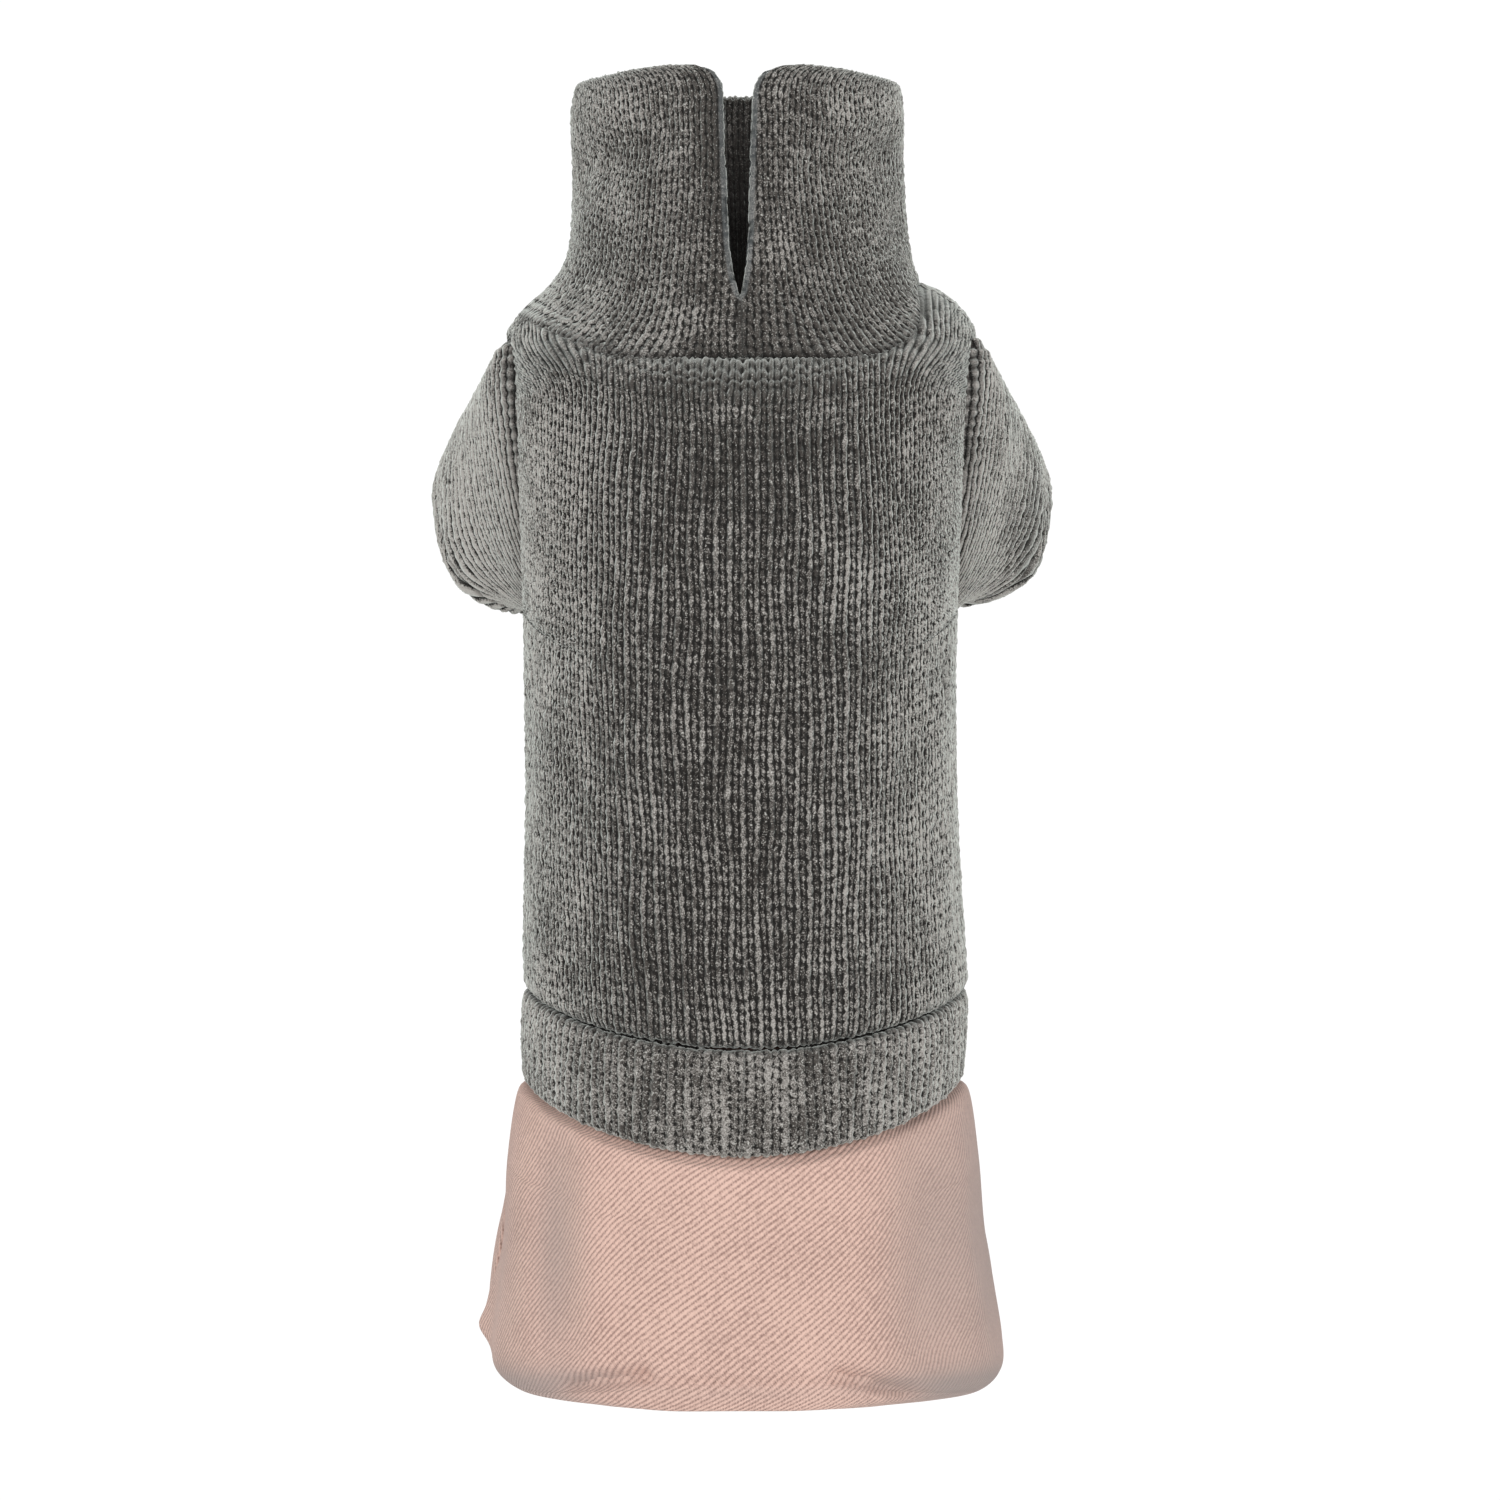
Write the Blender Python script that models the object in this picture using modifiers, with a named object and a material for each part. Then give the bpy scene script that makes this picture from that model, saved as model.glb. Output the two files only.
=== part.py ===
"""A small dog's jumpsuit, hollow, in the form it has when it is worn.

A grey chenille-knit sweater with a split funnel collar, two short sleeves and a folded waist
band, over pink twill pants with two short legs and an open rump hem.

Lengths are in millimetres until a mesh is made. +Z points out of the neck, the wearer's back
faces -Y and its belly +Y. The origin is the middle of the neck, where the wearer's shoulders
hold the garment. Round the wearer, angle 0 is the middle of the back and +90 the side at +X.
"""

from collections import namedtuple

import bmesh
import bpy
import numpy as np

MM = 0.001

# Cloth
KNIT_WALL = 2.0
TWILL_WALL = 1.3
KNIT_COLOUR = (0.125, 0.115, 0.108)
TWILL_COLOUR = (0.60, 0.40, 0.34)
FOLD_GAP = 0.4          # between the two layers of a folded edge
SEAM_GAP = 0.4          # between two pieces that are sewn together
PLUG_GAP = 0.55         # between a sleeve or leg and the rim of the hole it is sewn into
OVER_RIM = 0.5          # how far a sleeve or leg stands straight out of its hole at first
EDGE_ANGLES = (60, 120, 180)    # the steps of a folded edge, in degrees

# A section is one ring of cloth round the wearer. It is a rounded oval, rounder where
# squareness is near 2, and its height may differ at the back, the sides and the belly.
Section = namedtuple(
    "Section", "back_z side_z belly_z middle_x half_width back_depth belly_depth squareness"
)
RISE_POWER = 1.6        # how quickly a ring's height changes from its sides to its middle

BODY = [
    Section(-18.8, 5.2, -10.0, 0.0, 50.4, 50.6, 50.0, 2.0),        # neck seam
    Section(-24.0, -0.4, -15.5, 0.0, 59.2, 56.6, 58.0, 2.1),
    Section(-32.5, -11.0, -26.0, -0.1, 64.0, 60.6, 65.0, 2.2),     # top of the armholes
    Section(-57.5, -35.7, -48.0, -0.3, 62.8, 64.4, 70.0, 2.25),
    Section(-83.0, -61.8, -71.0, -0.4, 61.9, 66.0, 72.0, 2.25),
    Section(-108.0, -87.0, -95.0, -0.5, 61.0, 66.4, 72.0, 2.25),   # bottom of the armholes
    Section(-133.0, -114.0, -118.0, -0.5, 60.6, 65.6, 70.5, 2.25),
    Section(-160.0, -142.0, -145.0, -0.1, 60.7, 64.2, 67.5, 2.25),
    Section(-186.0, -169.0, -170.5, 0.3, 61.7, 62.6, 63.5, 2.25),
    Section(-203.2, -188.4, -188.4, 1.0, 62.3, 61.2, 60.6, 2.25),
    Section(-207.0, -191.8, -191.8, 1.0, 61.2, 59.8, 59.2, 2.25),  # seam with the waist band
]
BAND = [
    Section(-207.4, -192.2, -192.2, 1.0, 61.2, 59.8, 59.2, 2.25),
    Section(-210.6, -195.2, -195.2, 0.9, 62.4, 61.2, 60.4, 2.25),
    Section(-222.5, -205.5, -205.5, 0.5, 62.5, 61.8, 60.6, 2.25),
    Section(-234.5, -214.8, -214.8, 0.3, 62.0, 61.4, 60.2, 2.25),  # start of the folded edge
]
PANTS = [
    Section(-208.6, -193.8, -193.8, 1.0, 56.0, 54.8, 54.2, 2.25),  # sewn inside the band
    Section(-222.0, -205.0, -205.0, 0.5, 57.3, 56.6, 55.4, 2.25),
    Section(-233.3, -213.8, -213.8, 0.3, 56.9, 56.4, 55.2, 2.25),
    Section(-237.8, -218.0, -218.0, 0.3, 59.2, 58.6, 57.0, 2.25),
    Section(-241.4, -221.4, -221.4, 0.4, 63.2, 61.6, 58.6, 2.25),
    Section(-256.0, -240.0, -238.0, 0.3, 66.0, 62.2, 59.0, 2.25),  # top of the leg holes
    Section(-269.0, -259.0, -252.0, 0.5, 67.4, 61.8, 57.0, 2.25),
    Section(-281.0, -276.0, -264.0, 0.9, 69.8, 61.0, 53.0, 2.3),
    Section(-289.0, -289.0, -274.0, 1.3, 71.4, 60.4, 48.5, 2.4),
    Section(-294.5, -298.0, -281.0, 1.7, 70.9, 60.0, 44.5, 2.6),
    Section(-299.0, -304.0, -286.5, 2.4, 64.4, 59.8, 41.0, 3.0),   # bottom of the leg holes
    Section(-302.0, -306.4, -290.0, 1.6, 53.0, 59.4, 38.5, 3.6),
    Section(-304.2, -306.6, -292.0, 0.4, 42.0, 59.0, 37.0, 4.0),   # rump hem
]
COLLAR = [
    Section(-18.4, 5.7, -9.6, 0.0, 50.3, 50.6, 50.0, 2.0),         # neck seam
    Section(-12.0, 10.0, -2.5, -0.2, 48.6, 49.8, 48.6, 2.0),
    Section(-3.4, 16.5, 6.5, -0.4, 47.7, 49.2, 47.6, 2.0),         # foot of the split
    Section(4.5, 22.0, 14.0, -0.6, 47.4, 48.9, 47.1, 2.05),
    Section(14.0, 28.5, 22.5, -0.8, 47.1, 48.6, 46.7, 2.1),
    Section(29.0, 38.5, 34.5, -1.1, 46.8, 48.0, 46.3, 2.1),
    Section(44.0, 48.5, 46.5, -1.3, 46.9, 47.5, 46.1, 2.15),
    Section(53.5, 54.5, 54.0, -1.3, 46.6, 47.1, 46.0, 2.2),
    Section(58.1, 58.6, 58.1, -1.2, 45.9, 46.8, 45.6, 2.2),        # start of the folded edge
]

# The collar is split down the back. A row gives where its two edges lie at one section.
Split = namedtuple("Split", "section left_edge right_edge")
SPLIT = [
    Split(0, 0.0, 0.0),
    Split(2, 0.0, 0.0),
    Split(3, -2.3, 2.0),
    Split(4, -3.2, 2.9),
    Split(6, -3.8, 4.3),
    Split(8, -4.1, 5.3),
]
SPLIT_CORNER = 8.5      # radius of the collar's two top corners
COLLAR_SPREAD = 4       # the collar's section above which it no longer spreads to the shoulders
SPREAD_POWER = 6

# The body's section at which the neck seam lies, at angles from the middle of the back. It dips
# over each shoulder blade, and at the left it runs on down over the shoulder.
NECK_SEAM = [(-180, 0), (-90, 1.5), (-43, 1.2), (0, 0), (43, 1.2), (86, 0), (180, 0)]

# A hole is where a sleeve or leg is sewn in. It lies between two sections, and between the
# panel of the back and the panel of the belly, which meet in one seam above and below it.
# The seam above starts at one angle at the left side and another at the right.
Hole = namedtuple(
    "Hole", "first last left_start right_start top_angle bottom_angle back_reach belly_reach"
)
ARMHOLE = Hole(first=2, last=5, left_start=74, right_start=82, top_angle=88, bottom_angle=112,
               back_reach=12, belly_reach=31)
LEG_HOLE = Hole(first=5, last=10, left_start=108, right_start=108, top_angle=112,
                bottom_angle=120, back_reach=14, belly_reach=28)

# A limb is a sleeve or a leg. Its end ring reaches further on the side away from the wearer.
# It keeps on straight out of its hole and straight into its end for shares of its length. At the
# top of its hole it turns down by a slope.
Limb = namedtuple("Limb", "end axis tall outer inner out along turned slope")
SLEEVE = Limb((61.8, 60.0, -60.6), (0.22, 0.82, -0.54), 31.8, 28.2, 16.0, 0.5, 0.6, 4.0, 0.55)
LEFT_LEG = Limb((47.5, 78.0, -268.0), (0.10, 0.97, -0.20), 23.5, 23.0, 22.0, 0.15, 0.7, 7.0, 0)
RIGHT_LEG = Limb((46.5, 79.0, -276.0), (0.08, 0.95, -0.30), 24.0, 23.0, 22.0, 0.15, 0.7, 7.0, 0)
SLOPE_REACH = 14.0      # how far below the top of a hole the slope ends
OUTER_SQUARENESS = 2.6  # of the outer half of an end ring

# A soft fold is a trough in the cloth: where its middle is and how far it reaches each way.
Fold = namedtuple("Fold", "angle z half_angle half_height depth")
BODY_FOLDS = [
    Fold(102, -9, 15, 9, -3.2),
    Fold(-102, -9, 15, 9, -3.2),
]
COLLAR_FOLDS = [
    Fold(-42, 30, 26, 13, 1.5),
    Fold(58, 28, 24, 14, 1.5),
    Fold(140, 24, 30, 12, 1.2),
    Fold(215, 30, 28, 12, 1.3),
    Fold(-70, 14, 16, 8, -0.8),
]
PANTS_FOLDS = [
    Fold(-98, -283, 6, 7, -4.4),
    Fold(-58, -262, 11, 26, 1.9),
    Fold(-84, -272, 8, 20, 1.1),
    Fold(54, -268, 9, 30, 1.5),
    Fold(74, -262, 8, 26, 1.7),
    Fold(180, -262, 22, 16, 1.6),
    Fold(36, -299, 9, 6, 1.3),
    Fold(-36, -299, 9, 6, 1.3),
]

# How finely the cloth is divided
HOLE_STEPS = 12         # from a hole's top to its bottom
LIMB_ROWS = 5           # from a sleeve's or leg's hole to its end
BACK_COLUMNS = 24
BELLY_COLUMNS = 16
SEAT_COLUMNS = 26
PANTS_BELLY_COLUMNS = 12
BAND_COLUMNS = 48
SHOULDER_ROWS = 4
WAIST_ROWS = 6
RIM_SHARE = 0.02        # of a panel's width or height: the last strip before its edge
BAND_ROWS = (0, 0.5, 1, 2, 3)
HEM_ROWS = (10.6, 11.2, 12)
COLLAR_COLUMNS = 25
NEAR_SPLIT = (0.0, 0.006, 0.015, 0.028)     # shares of the way round, close beside the split
WHOLE_COLLAR_ROWS = 4   # rows below the split, outside
STEP = 0.05             # a small step along the cloth, to find which way it faces
SHOULDER_CURVE = 0.6    # lower where the shoulder seam leaves the neck more steeply
SLANT_GAP = 6.0         # times the gap at the left shoulder's slanting seam


def between(table, places):
    """The values of a table at places between its rows, on one smooth curve through them."""
    values = np.array(table, float)
    places = np.asarray(places, float)
    last = len(values) - 1
    low = np.clip(np.floor(places).astype(int), 0, last - 1)
    t = (places - low)[..., None]
    before, start = values[np.maximum(low - 1, 0)], values[low]
    end, after = values[low + 1], values[np.minimum(low + 2, last)]
    return start + 0.5 * t * (
        end - before
        + t * (2 * before - 5 * start + 4 * end - after + t * (3 * (start - end) + after - before))
    )


def section_at(sections, places):
    """The section, or sections, at places between the rows of a table of them."""
    return Section(*np.moveaxis(between(sections, places), -1, 0))


def surface(sections, folds, places, angles):
    """Points of the cloth's outer face, at section places and at angles in degrees."""
    ring = section_at(sections, places)
    turn = np.radians(angles)
    across, toward_back = np.sin(turn), np.cos(turn)
    at_back = toward_back > 0
    depth = np.where(at_back, ring.back_depth, ring.belly_depth)
    middle_z = np.where(at_back, ring.back_z, ring.belly_z)
    z = ring.side_z + (middle_z - ring.side_z) * np.abs(toward_back) ** RISE_POWER
    power = ring.squareness
    radius = (
        np.abs(across / ring.half_width) ** power + np.abs(toward_back / depth) ** power
    ) ** (-1 / power)
    for fold in folds:
        aside = (np.asarray(angles) - fold.angle + 180) % 360 - 180
        radius = radius - fold.depth * np.exp(
            -((aside / fold.half_angle) ** 2) - ((z - fold.z) / fold.half_height) ** 2
        )
    return np.stack([ring.middle_x + radius * across, -radius * toward_back, z], -1)


def unit(vectors):
    """The vectors, each one long."""
    return vectors / np.linalg.norm(vectors, axis=-1, keepdims=True)


def normals_of(grid, closed):
    """The outward normal at each point of a grid whose rows run down and columns run round."""
    down = np.gradient(grid, axis=0)
    if closed:
        across = np.roll(grid, -1, 1) - np.roll(grid, 1, 1)
    else:
        across = np.gradient(grid, axis=1)
    return unit(np.cross(down, across))


def fold_under(grid, closed, wall, rows_back):
    """The grid with its last row folded inwards and carried back over so many rows."""
    normal = normals_of(grid, closed)
    radius = wall + FOLD_GAP / 2
    onward = unit(grid[-1] - grid[-2])
    fold = [
        grid[-1] + radius * (onward * np.sin(turn) - normal[-1] * (1 - np.cos(turn)))
        for turn in np.radians(EDGE_ANGLES)
    ]
    inner = [grid[i] - 2 * radius * normal[i] for i in range(-2, -2 - rows_back, -1)]
    return np.concatenate([grid, fold, inner])


def neck_place(angles):
    """The section place at which the body meets the collar."""
    turns, places = np.array(NECK_SEAM).T
    turn = (np.asarray(angles) + 180) % 360 - 180
    after = np.clip(np.searchsorted(turns, turn, side="right"), 1, len(turns) - 1)
    before = after - 1
    share = (turn - turns[before]) / (turns[after] - turns[before])
    ease = (1 - np.cos(np.pi * share)) / 2
    return places[before] + ease * (places[after] - places[before])


def below_neck(places, angles):
    """The body's places, drawn down to the neck seam above the tops of the armholes."""
    return places + neck_place(angles) * np.clip(1 - places / ARMHOLE.first, 0, 1)


def seam_angles(hole, places, start_angle):
    """The angles of a hole's two edges, which are one seam above it and below it."""
    share = np.clip((places - hole.first) / (hole.last - hole.first), 0, 1)
    above = np.clip(1 - places / hole.first, 0, 1) ** SHOULDER_CURVE
    middle = hole.top_angle + (hole.bottom_angle - hole.top_angle) * share
    middle = middle + (start_angle - hole.top_angle) * above
    swell = 2 * np.sqrt(share * (1 - share))
    return middle - hole.back_reach * swell, middle + hole.belly_reach * swell


def hole_places(hole):
    """Section places from a hole's top to its bottom, closest together at its ends."""
    share = (1 - np.cos(np.linspace(0, np.pi, HOLE_STEPS + 1))) / 2
    return hole.first + (hole.last - hole.first) * share


def near_edges(start, end, count):
    """Evenly spaced values with one more close to each end, which keeps a wall's rim square."""
    step = RIM_SHARE * (end - start)
    return np.concatenate([[start], np.linspace(start + step, end - step, count), [end]])


def panel(tube, places, columns, of_back):
    """One panel of the body or of the pants, from its left seam round to its right seam."""
    gap = np.degrees(SEAM_GAP / 2 / section_at(tube.sections, places).half_width)
    # A seam that runs aslant leaves less of an angle's gap between its two sides.
    slants = (places <= tube.hole.first) & (tube.hole.left_start < tube.hole.right_start)
    left_gap = gap * np.where(slants, SLANT_GAP, 1)
    left_back, left_belly = seam_angles(tube.hole, places, tube.hole.left_start)
    right_back, right_belly = seam_angles(tube.hole, places, tube.hole.right_start)
    if of_back:
        left, right = -left_back + left_gap, right_back - gap
    else:
        left, right = right_belly + gap, 360 - left_belly - left_gap
    angles = left[:, None] + (right - left)[:, None] * near_edges(0, 1, columns)
    rows = places[:, None]
    if tube.sections is BODY:
        rows = below_neck(rows, angles)
    return surface(tube.sections, tube.folds, rows, angles)


def hole_rim(tube):
    """The rim of the sleeve or leg in its hole at +X, and which way the cloth faces there."""
    places = hole_places(tube.hole)
    back_edge, belly_edge = seam_angles(tube.hole, places, tube.hole.right_start)
    places = np.concatenate([places, places[-2:0:-1]])
    angles = np.concatenate([back_edge, belly_edge[-2:0:-1]])
    rim = surface(tube.sections, tube.folds, places, angles)
    across = surface(tube.sections, tube.folds, places, angles + STEP) - rim
    down = surface(tube.sections, tube.folds, places + STEP, angles) - rim
    normal = unit(np.cross(down, across))
    inward = rim.mean(0) - rim
    inward -= normal * (inward * normal).sum(-1, keepdims=True)
    return rim + PLUG_GAP * unit(inward), normal


def end_ring(shape, columns):
    """The ring at the end of a sleeve or leg at +X, from its top round its outer side."""
    axis = unit(np.array(shape.axis))
    up = unit(np.array([0, 0, 1]) - axis[2] * axis)
    outward = np.cross(axis, up)
    turn = np.linspace(0, 2 * np.pi, columns, endpoint=False)[:, None]
    above, aside = np.cos(turn), np.sin(turn)
    outer_side = aside > 0
    power = np.where(outer_side, 2 / OUTER_SQUARENESS, 1)
    above = np.sign(above) * np.abs(above) ** power * shape.tall
    aside = np.sign(aside) * np.abs(aside) ** power * np.where(outer_side, shape.outer, shape.inner)
    return np.array(shape.end) + above * up + aside * outward, axis


def limb(tube, shape, side):
    """A sleeve or leg, as a closed grid from the rim of its hole to its turned hem."""
    rim, normal = hole_rim(tube)
    end, axis = end_ring(shape, len(rim))
    start = rim + OVER_RIM * normal
    length = np.linalg.norm(end - start, axis=-1, keepdims=True)
    near_top = np.clip(1 - (start[:, 2].max() - start[:, 2]) / SLOPE_REACH, 0, 1)
    slope = shape.slope * near_top[:, None] * np.array([0, 0, 1])
    outward = unit(normal - slope)
    # The last row but one lies where the stitches of the turned hem are.
    spread = np.linspace(0, 1, LIMB_ROWS)[:, None, None]
    t = np.concatenate([spread[:-1] * (1 - shape.turned / length), [np.ones_like(length)]])
    rows = (
        (2 * t**3 - 3 * t**2 + 1) * start
        + (t**3 - 2 * t**2 + t) * shape.out * length * outward
        + (3 * t**2 - 2 * t**3) * end
        + (t**3 - t**2) * shape.along * length * axis
    )
    grid = np.concatenate([[rim - tube.wall * normal], rows]) * np.array([side, 1, 1])
    # Both the mirror and the way the rim runs turn the cloth inside out.
    if side > 0:
        grid = grid[:, ::-1]
    return fold_under(grid, True, tube.wall, 1)


def pulled_in(grid, insets):
    """The grid with both ends of each row drawn in along the row by that row's inset."""
    pulled = []
    for row, inset in zip(grid, insets):
        steps = np.linalg.norm(np.diff(row, axis=0), axis=-1)
        along = np.concatenate([[0], np.cumsum(steps)])
        wanted = inset + along * (1 - 2 * inset / along[-1])
        pulled.append(np.stack([np.interp(wanted, along, axis) for axis in row.T], -1))
    return np.array(pulled)


def collar_grid():
    """The collar from the neck seam up, over its folded top and down inside itself."""
    places = np.concatenate([[0, 2 * RIM_SHARE], np.arange(1, len(COLLAR))])
    radius = section_at(COLLAR, places).back_depth
    edges = Split(*np.array(SPLIT).T)
    left = np.degrees(np.interp(places, edges.section, edges.left_edge) / radius)
    right = np.degrees(np.interp(places, edges.section, edges.right_edge) / radius)
    near = np.array(NEAR_SPLIT)
    spread = np.linspace(2 * near[-1], 1 - 2 * near[-1], COLLAR_COLUMNS)
    share = np.concatenate([near, spread, 1 - near[::-1]])
    angles = right[:, None] + (360 + left - right)[:, None] * share
    grid = surface(COLLAR, COLLAR_FOLDS, places[:, None], angles)
    # The collar spreads out over the shoulders to meet the neck seam. Where it spreads furthest
    # it meets the body at an angle, and needs a wider gap.
    gap = SEAM_GAP * (1 + neck_place(angles[0])[:, None])
    seam = surface(BODY, BODY_FOLDS, neck_place(angles[0]), angles[0])
    along = surface(BODY, BODY_FOLDS, neck_place(angles[0] + STEP), angles[0] + STEP) - seam
    down = surface(BODY, BODY_FOLDS, neck_place(angles[0]) + STEP, angles[0]) - seam
    upward = unit(np.cross(np.cross(down, along), along))
    spread = np.clip(1 - places / COLLAR_SPREAD, 0, 1)[:, None, None] ** SPREAD_POWER
    grid = grid + spread * (seam + gap * upward - grid[0])
    # Rows run up here, so the columns are turned round to keep the normals outward.
    grid = fold_under(grid[:, ::-1], False, KNIT_WALL, len(places) - 2)
    height = grid[:, 0, 2]
    rise = np.clip(1 - (height.max() - height) / SPLIT_CORNER, 0, 1)
    grid = pulled_in(grid, SPLIT_CORNER * (1 - np.sqrt(1 - rise**2)))
    # Below the foot of the split the two ends of a row are one point.
    whole = [*range(WHOLE_COLLAR_ROWS), -2, -1]
    grid[whole, 0] = grid[whole, -1] = (grid[whole, 0] + grid[whole, -1]) / 2
    return grid


def material(name, colour, roughness):
    """A plain cloth material."""
    made = bpy.data.materials.new(name)
    made.use_nodes = True
    shader = made.node_tree.nodes["Principled BSDF"]
    shader.inputs["Base Color"].default_value = (*colour, 1)
    shader.inputs["Roughness"].default_value = roughness
    shader.inputs["Metallic"].default_value = 0.0
    made.diffuse_color = (*colour, 1)
    return made


def cloth(name, grid, closed, wall, look, collection):
    """One piece of cloth: an open sheet through the grid's points, thickened inwards."""
    build = bmesh.new()
    points = [[build.verts.new(point * MM) for point in row] for row in grid]
    for upper, lower in zip(points, points[1:]):
        for i in range(len(upper) if closed else len(upper) - 1):
            j = (i + 1) % len(upper)
            build.faces.new((upper[i], lower[i], lower[j], upper[j]))
    bmesh.ops.remove_doubles(build, verts=build.verts, dist=0.001 * MM)
    mesh = bpy.data.meshes.new(name)
    build.to_mesh(mesh)
    build.free()
    mesh.materials.append(look)
    mesh.shade_smooth()
    piece = bpy.data.objects.new(name, mesh)
    collection.objects.link(piece)
    thickness = piece.modifiers.new("wall", "SOLIDIFY")
    thickness.thickness = wall * MM
    thickness.offset = -1
    return piece


Tube = namedtuple("Tube", "sections folds hole wall")


def main():
    for old in list(bpy.data.objects):
        bpy.data.objects.remove(old)
    garment = bpy.data.collections.new("dog_jumpsuit")
    bpy.context.scene.collection.children.link(garment)
    knit = material("chenille_knit", KNIT_COLOUR, 0.95)
    twill = material("pink_twill", TWILL_COLOUR, 0.9)
    body = Tube(BODY, BODY_FOLDS, ARMHOLE, KNIT_WALL)
    pants = Tube(PANTS, PANTS_FOLDS, LEG_HOLE, TWILL_WALL)

    shoulder = near_edges(0, ARMHOLE.first, SHOULDER_ROWS)[:-1]
    waist = np.linspace(ARMHOLE.last, len(BODY) - 2, WAIST_ROWS + 1)[1:]
    places = np.concatenate([shoulder, hole_places(ARMHOLE), waist, [len(BODY) - 1]])
    back = panel(body, places, BACK_COLUMNS, True)
    cloth("back_panel", back, False, KNIT_WALL, knit, garment)
    belly = panel(body, places, BELLY_COLUMNS, False)
    cloth("belly_panel", belly, False, KNIT_WALL, knit, garment)

    cloth("collar", collar_grid(), False, KNIT_WALL, knit, garment)
    angles = np.linspace(0, 360, BAND_COLUMNS, endpoint=False)
    band = surface(BAND, [], np.array(BAND_ROWS)[:, None], angles)
    band = fold_under(band, True, KNIT_WALL, len(BAND_ROWS) - 2)
    cloth("waist_band", band, True, KNIT_WALL, knit, garment)

    places = np.concatenate([np.arange(LEG_HOLE.first), hole_places(LEG_HOLE), HEM_ROWS])
    seat = fold_under(panel(pants, places, SEAT_COLUMNS, True), False, TWILL_WALL, 1)
    cloth("pants_seat", seat, False, TWILL_WALL, twill, garment)
    front = fold_under(panel(pants, places, PANTS_BELLY_COLUMNS, False), False, TWILL_WALL, 1)
    cloth("pants_belly", front, False, TWILL_WALL, twill, garment)

    for side, word, leg_shape in ((-1, "left", LEFT_LEG), (1, "right", RIGHT_LEG)):
        sleeve = limb(body, SLEEVE, side)
        cloth(f"sleeve_{word}", sleeve, True, KNIT_WALL, knit, garment)
        leg = limb(pants, leg_shape, side)
        cloth(f"leg_{word}", leg, True, TWILL_WALL, twill, garment)


main()
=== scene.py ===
"""The looks of a small dog's jumpsuit: a chenille-knit sweater over pink twill pants.

Round the wearer, angle 0 is the middle of the back and +90 the side at +X.
"""

import math
from collections import namedtuple
from functools import partial, partialmethod

import bpy
import numpy as np
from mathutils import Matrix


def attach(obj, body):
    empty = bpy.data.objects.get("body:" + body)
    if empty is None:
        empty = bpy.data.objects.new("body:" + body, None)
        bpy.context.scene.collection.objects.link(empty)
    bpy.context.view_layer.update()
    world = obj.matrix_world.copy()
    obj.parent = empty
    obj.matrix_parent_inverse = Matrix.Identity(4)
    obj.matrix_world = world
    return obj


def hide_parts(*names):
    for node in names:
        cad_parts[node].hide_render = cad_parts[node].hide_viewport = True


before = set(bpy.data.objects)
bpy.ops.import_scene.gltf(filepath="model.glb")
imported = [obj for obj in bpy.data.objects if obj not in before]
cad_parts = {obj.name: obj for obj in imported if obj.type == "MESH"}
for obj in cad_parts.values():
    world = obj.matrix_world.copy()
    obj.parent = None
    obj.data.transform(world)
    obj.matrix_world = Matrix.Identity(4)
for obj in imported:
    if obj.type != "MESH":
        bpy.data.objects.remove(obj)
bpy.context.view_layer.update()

MM = 0.001

# Cloth
KNIT_WALL = 2.0
TWILL_WALL = 1.3
FOLD_GAP = 0.4          # between the two layers of a folded edge
SEAM_GAP = 0.4          # between two pieces that are sewn together
PLUG_GAP = 0.55         # round a sleeve in its armhole
LEG_GAP = 0.2           # round a leg in its hole
OVER_RIM = 0.5          # how far a sleeve or leg stands straight out of its hole at first
FOLD_STEPS = 8          # rows round a folded edge

# Knit: a wale is one column of stitches, made of a full and a flatter half, and a course is
# one row of them.
WALE = 3.7
COURSE = 3.25
STITCH_RELIEF = 1.2     # from a stitch's crest to the pit beside it
FLAT_HALF = 0.64        # height of a wale's flatter half, as a share
STITCH_LEAN = 0.4       # how far a stitch leans across its own column
DRIFT = 0.1             # how far a column's stitches lie off their course
DRIFT_PACE = 2.4        # from column to column, in radians
SIDE_DROP = 0.55        # how low a stitch is at its sides, its ends and its corners, as shares
END_DROP = 0.3
CORNER_DROP = 1.2
SIDE_SHAPE = 2.0        # higher where a stitch is flatter across
END_SHAPE = 2.0
FLAT_END = 1.5          # times as low at the ends, in a flatter half
FUZZ = 0.07             # of the pile, in the mesh itself
FULL_FUZZ_STEP = 0.7    # between rows, below which there is less of it
TABLE = 509             # stitches after which their random sizes repeat
LEAST_STITCH, LARGEST_STITCH = 0.8, 1.06

# How far the stitches stray across and down, over patches of a width and height in mm.
Stray = namedtuple("Stray", "share wide tall")
STRAY_ACROSS = [Stray(0.28, 9, 16), Stray(0.1, 2.1, 2.9)]
STRAY_DOWN = [Stray(0.12, 5, 7), Stray(0.14, 1.9, 3.1)]

# ribbed is 1 where every other half wale is at its flattest. side_drop is how low the stitches
# are at their sides, and pits how much there is of the pits between their ends.
Stitches = namedtuple("Stitches", "ribbed side_drop wale course pits",
                      defaults=(SIDE_DROP, WALE, COURSE, 1.0))

# A section is one ring of cloth round the wearer.
Section = namedtuple(
    "Section", "back_z side_z belly_z middle_x half_width back_depth belly_depth squareness"
)
RISE_POWER = 1.6        # how quickly a ring's height changes from its sides to its middle

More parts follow.
